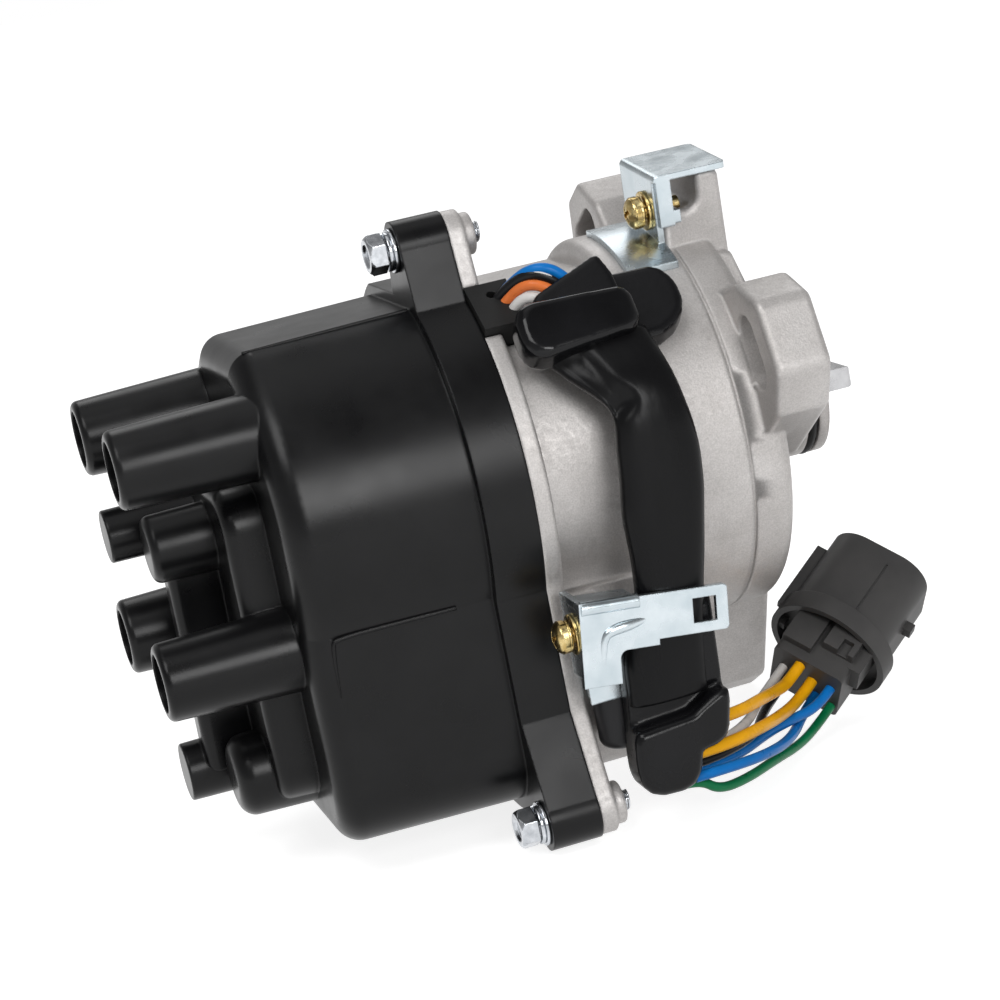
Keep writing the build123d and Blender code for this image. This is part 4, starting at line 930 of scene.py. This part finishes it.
# %% A ring: a flat washer, or a spring washer whose two ends stand apart
def ring_tree():
    tree, sizes, result = new_tree("split_ring", Inner=0, Outer=0, Thick=0, Rise=0, Gap=0)
    middle = times(tree, maths(tree, "ADD", sizes["Inner"], sizes["Outer"]), 0.5)
    open_by = maths(tree, "DIVIDE", sizes["Gap"], times(tree, middle, 2 * math.pi))
    line = node(tree, "GeometryNodeCurveSpiral", Resolution=64, Start_Radius=middle, End_Radius=middle,
                Rotations=maths(tree, "SUBTRACT", 1.0, open_by), Height=sizes["Rise"])
    section = node(tree, "GeometryNodeCurvePrimitiveQuadrilateral", Height=sizes["Thick"],
                   Width=maths(tree, "SUBTRACT", sizes["Outer"], sizes["Inner"]))
    ring = node(tree, "GeometryNodeCurveToMesh", Curve=line, Profile_Curve=section, Fill_Caps=True)
    tree.links.new(stood(tree, sizes, ring), result)
    return tree


# %% A round head with a cross recess
RIM = 0.45                                      # the head's upright rim, in heights of the head
CROWN_WIDE, CROWN_TALL, CROWN_UP = 0.97, 0.6, 0.4
CROSS_ARM = 3.9 * MM, 0.95 * MM, 2.6 * MM
CROSS_TURNS = 25, 115


def cross_tree():
    tree, sizes, result = new_tree("cross_screw", Head=0, Height=0, Shank=0, Length=0)
    radius, tall, long = sizes["Head"], sizes["Height"], sizes["Length"]
    low = node(tree, "GeometryNodeMeshCylinder", Vertices=40, Radius=radius, Depth=times(tree, tall, RIM))
    low = lifted(tree, low, times(tree, tall, RIM / 2))
    crown = node(tree, "GeometryNodeMeshUVSphere", Segments=40, Rings=24, Radius=1.0)
    wide = times(tree, radius, CROWN_WIDE)
    scale = node(tree, "ShaderNodeCombineXYZ", X=wide, Y=wide, Z=times(tree, tall, CROWN_TALL))
    crown = node(tree, "GeometryNodeTransform", Geometry=crown, Scale=scale)
    crown = lifted(tree, crown, times(tree, tall, CROWN_UP))
    head = solid(tree, "UNION", Mesh_2=[low, crown])
    for turn in CROSS_TURNS:
        slot = node(tree, "GeometryNodeMeshCube", Size=CROSS_ARM)
        slot = node(tree, "GeometryNodeTransform", Geometry=slot, Rotation=(0, 0, math.radians(turn)))
        slot = lifted(tree, slot, maths(tree, "ADD", tall, 0.1 * MM))
        head = solid(tree, "DIFFERENCE", Mesh_1=head, Mesh_2=slot)
    shank = node(tree, "GeometryNodeMeshCylinder", Vertices=24, Radius=sizes["Shank"], Depth=long)
    shank = lifted(tree, shank, times(tree, long, -0.5))
    whole = node(tree, "GeometryNodeJoinGeometry", Geometry=[shank, head])
    tree.links.new(stood(tree, sizes, whole), result)
    return tree


# %% Cap bolts with their washers
SEAT_X = -79.5
BOLT_PLACES = [(SEAT_X, y, z) for y, z in ((-14.0, 55.0), (-46.0, -71.0), (52.0, -18.0))]


def towards_cap(places, by):
    return [(x - by, y, z) for x, y, z in places]


hexagon_bolt, split_ring, cross_screw = bolt_tree(), ring_tree(), cross_tree()
fixings = {
    "cap_screws": on_places("cap_bolts", hexagon_bolt, towards_cap(BOLT_PLACES, 2.3), "bright_zinc",
                            Across=8.0, Head=4.0, Shank=2.5, Length=21.8),
    "cap_spring_washers": on_places("cap_bolt_springs", split_ring, towards_cap(BOLT_PLACES, 1.35),
                                    "bright_zinc", Inner=2.65, Outer=4.4, Thick=0.95, Rise=0.35, Gap=0.7),
    "cap_flat_washers": on_places("cap_bolt_washers", split_ring, towards_cap(BOLT_PLACES, 0.5),
                                  "bright_zinc", Inner=2.65, Outer=5.0, Thick=0.9, Rise=0.0, Gap=0.0),
}

# %% Bracket screws with their washers
top_spot = Matrix.Rotation(math.radians(8.0), 3, "X") @ Vector((0, -7.0, 52.3))
SCREW_PLACES = [(-66.5, -53.0, -29.2), (-20.5, top_spot.y, top_spot.z)]
fixings["bracket_screws"] = on_places("bracket_cross_screws", cross_screw, towards_cap(SCREW_PLACES, 2.0),
                                      "gold_zinc", Head=3.7, Height=2.9, Shank=1.95, Length=9.6)
bracket_rings = on_places("bracket_spring_rings", split_ring, towards_cap(SCREW_PLACES, 1.55), "gold_zinc",
                          Inner=2.1, Outer=3.6, Thick=0.8, Rise=0.5, Gap=0.8)
bracket_flats = on_places("bracket_flat_rings", split_ring, towards_cap(SCREW_PLACES, 0.4), "gold_zinc",
                          Inner=2.1, Outer=4.5, Thick=0.8, Rise=0.0, Gap=0.0)
for name, piece in fixings.items():
    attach(piece, "housing_body")
    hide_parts(name)
for piece in (bracket_rings, bracket_flats):
    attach(piece, "housing_body")
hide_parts("bracket_washers")

# %% [markdown]
# The wires, the rubber and the casting still have no finish. The fixings got theirs from their trees,
# and the spring's copy came with the model's.

# %% Finishes on the pieces made here
for node_name, piece in {**wires, **leads}.items():
    piece.data.materials.append(FINISHES[node_name.split("_")[1] + "_insulation"])
for piece, finish_name in ((stripe, "white_insulation"), (upper_boot, "gloss_rubber"),
                           (lower_boot, "satin_rubber"), (harness_sleeve, "sleeve_plastic"),
                           (casting, "cast_metal")):
    piece.data.materials.append(FINISHES[finish_name])
    print(piece.name, "wears", finish_name)
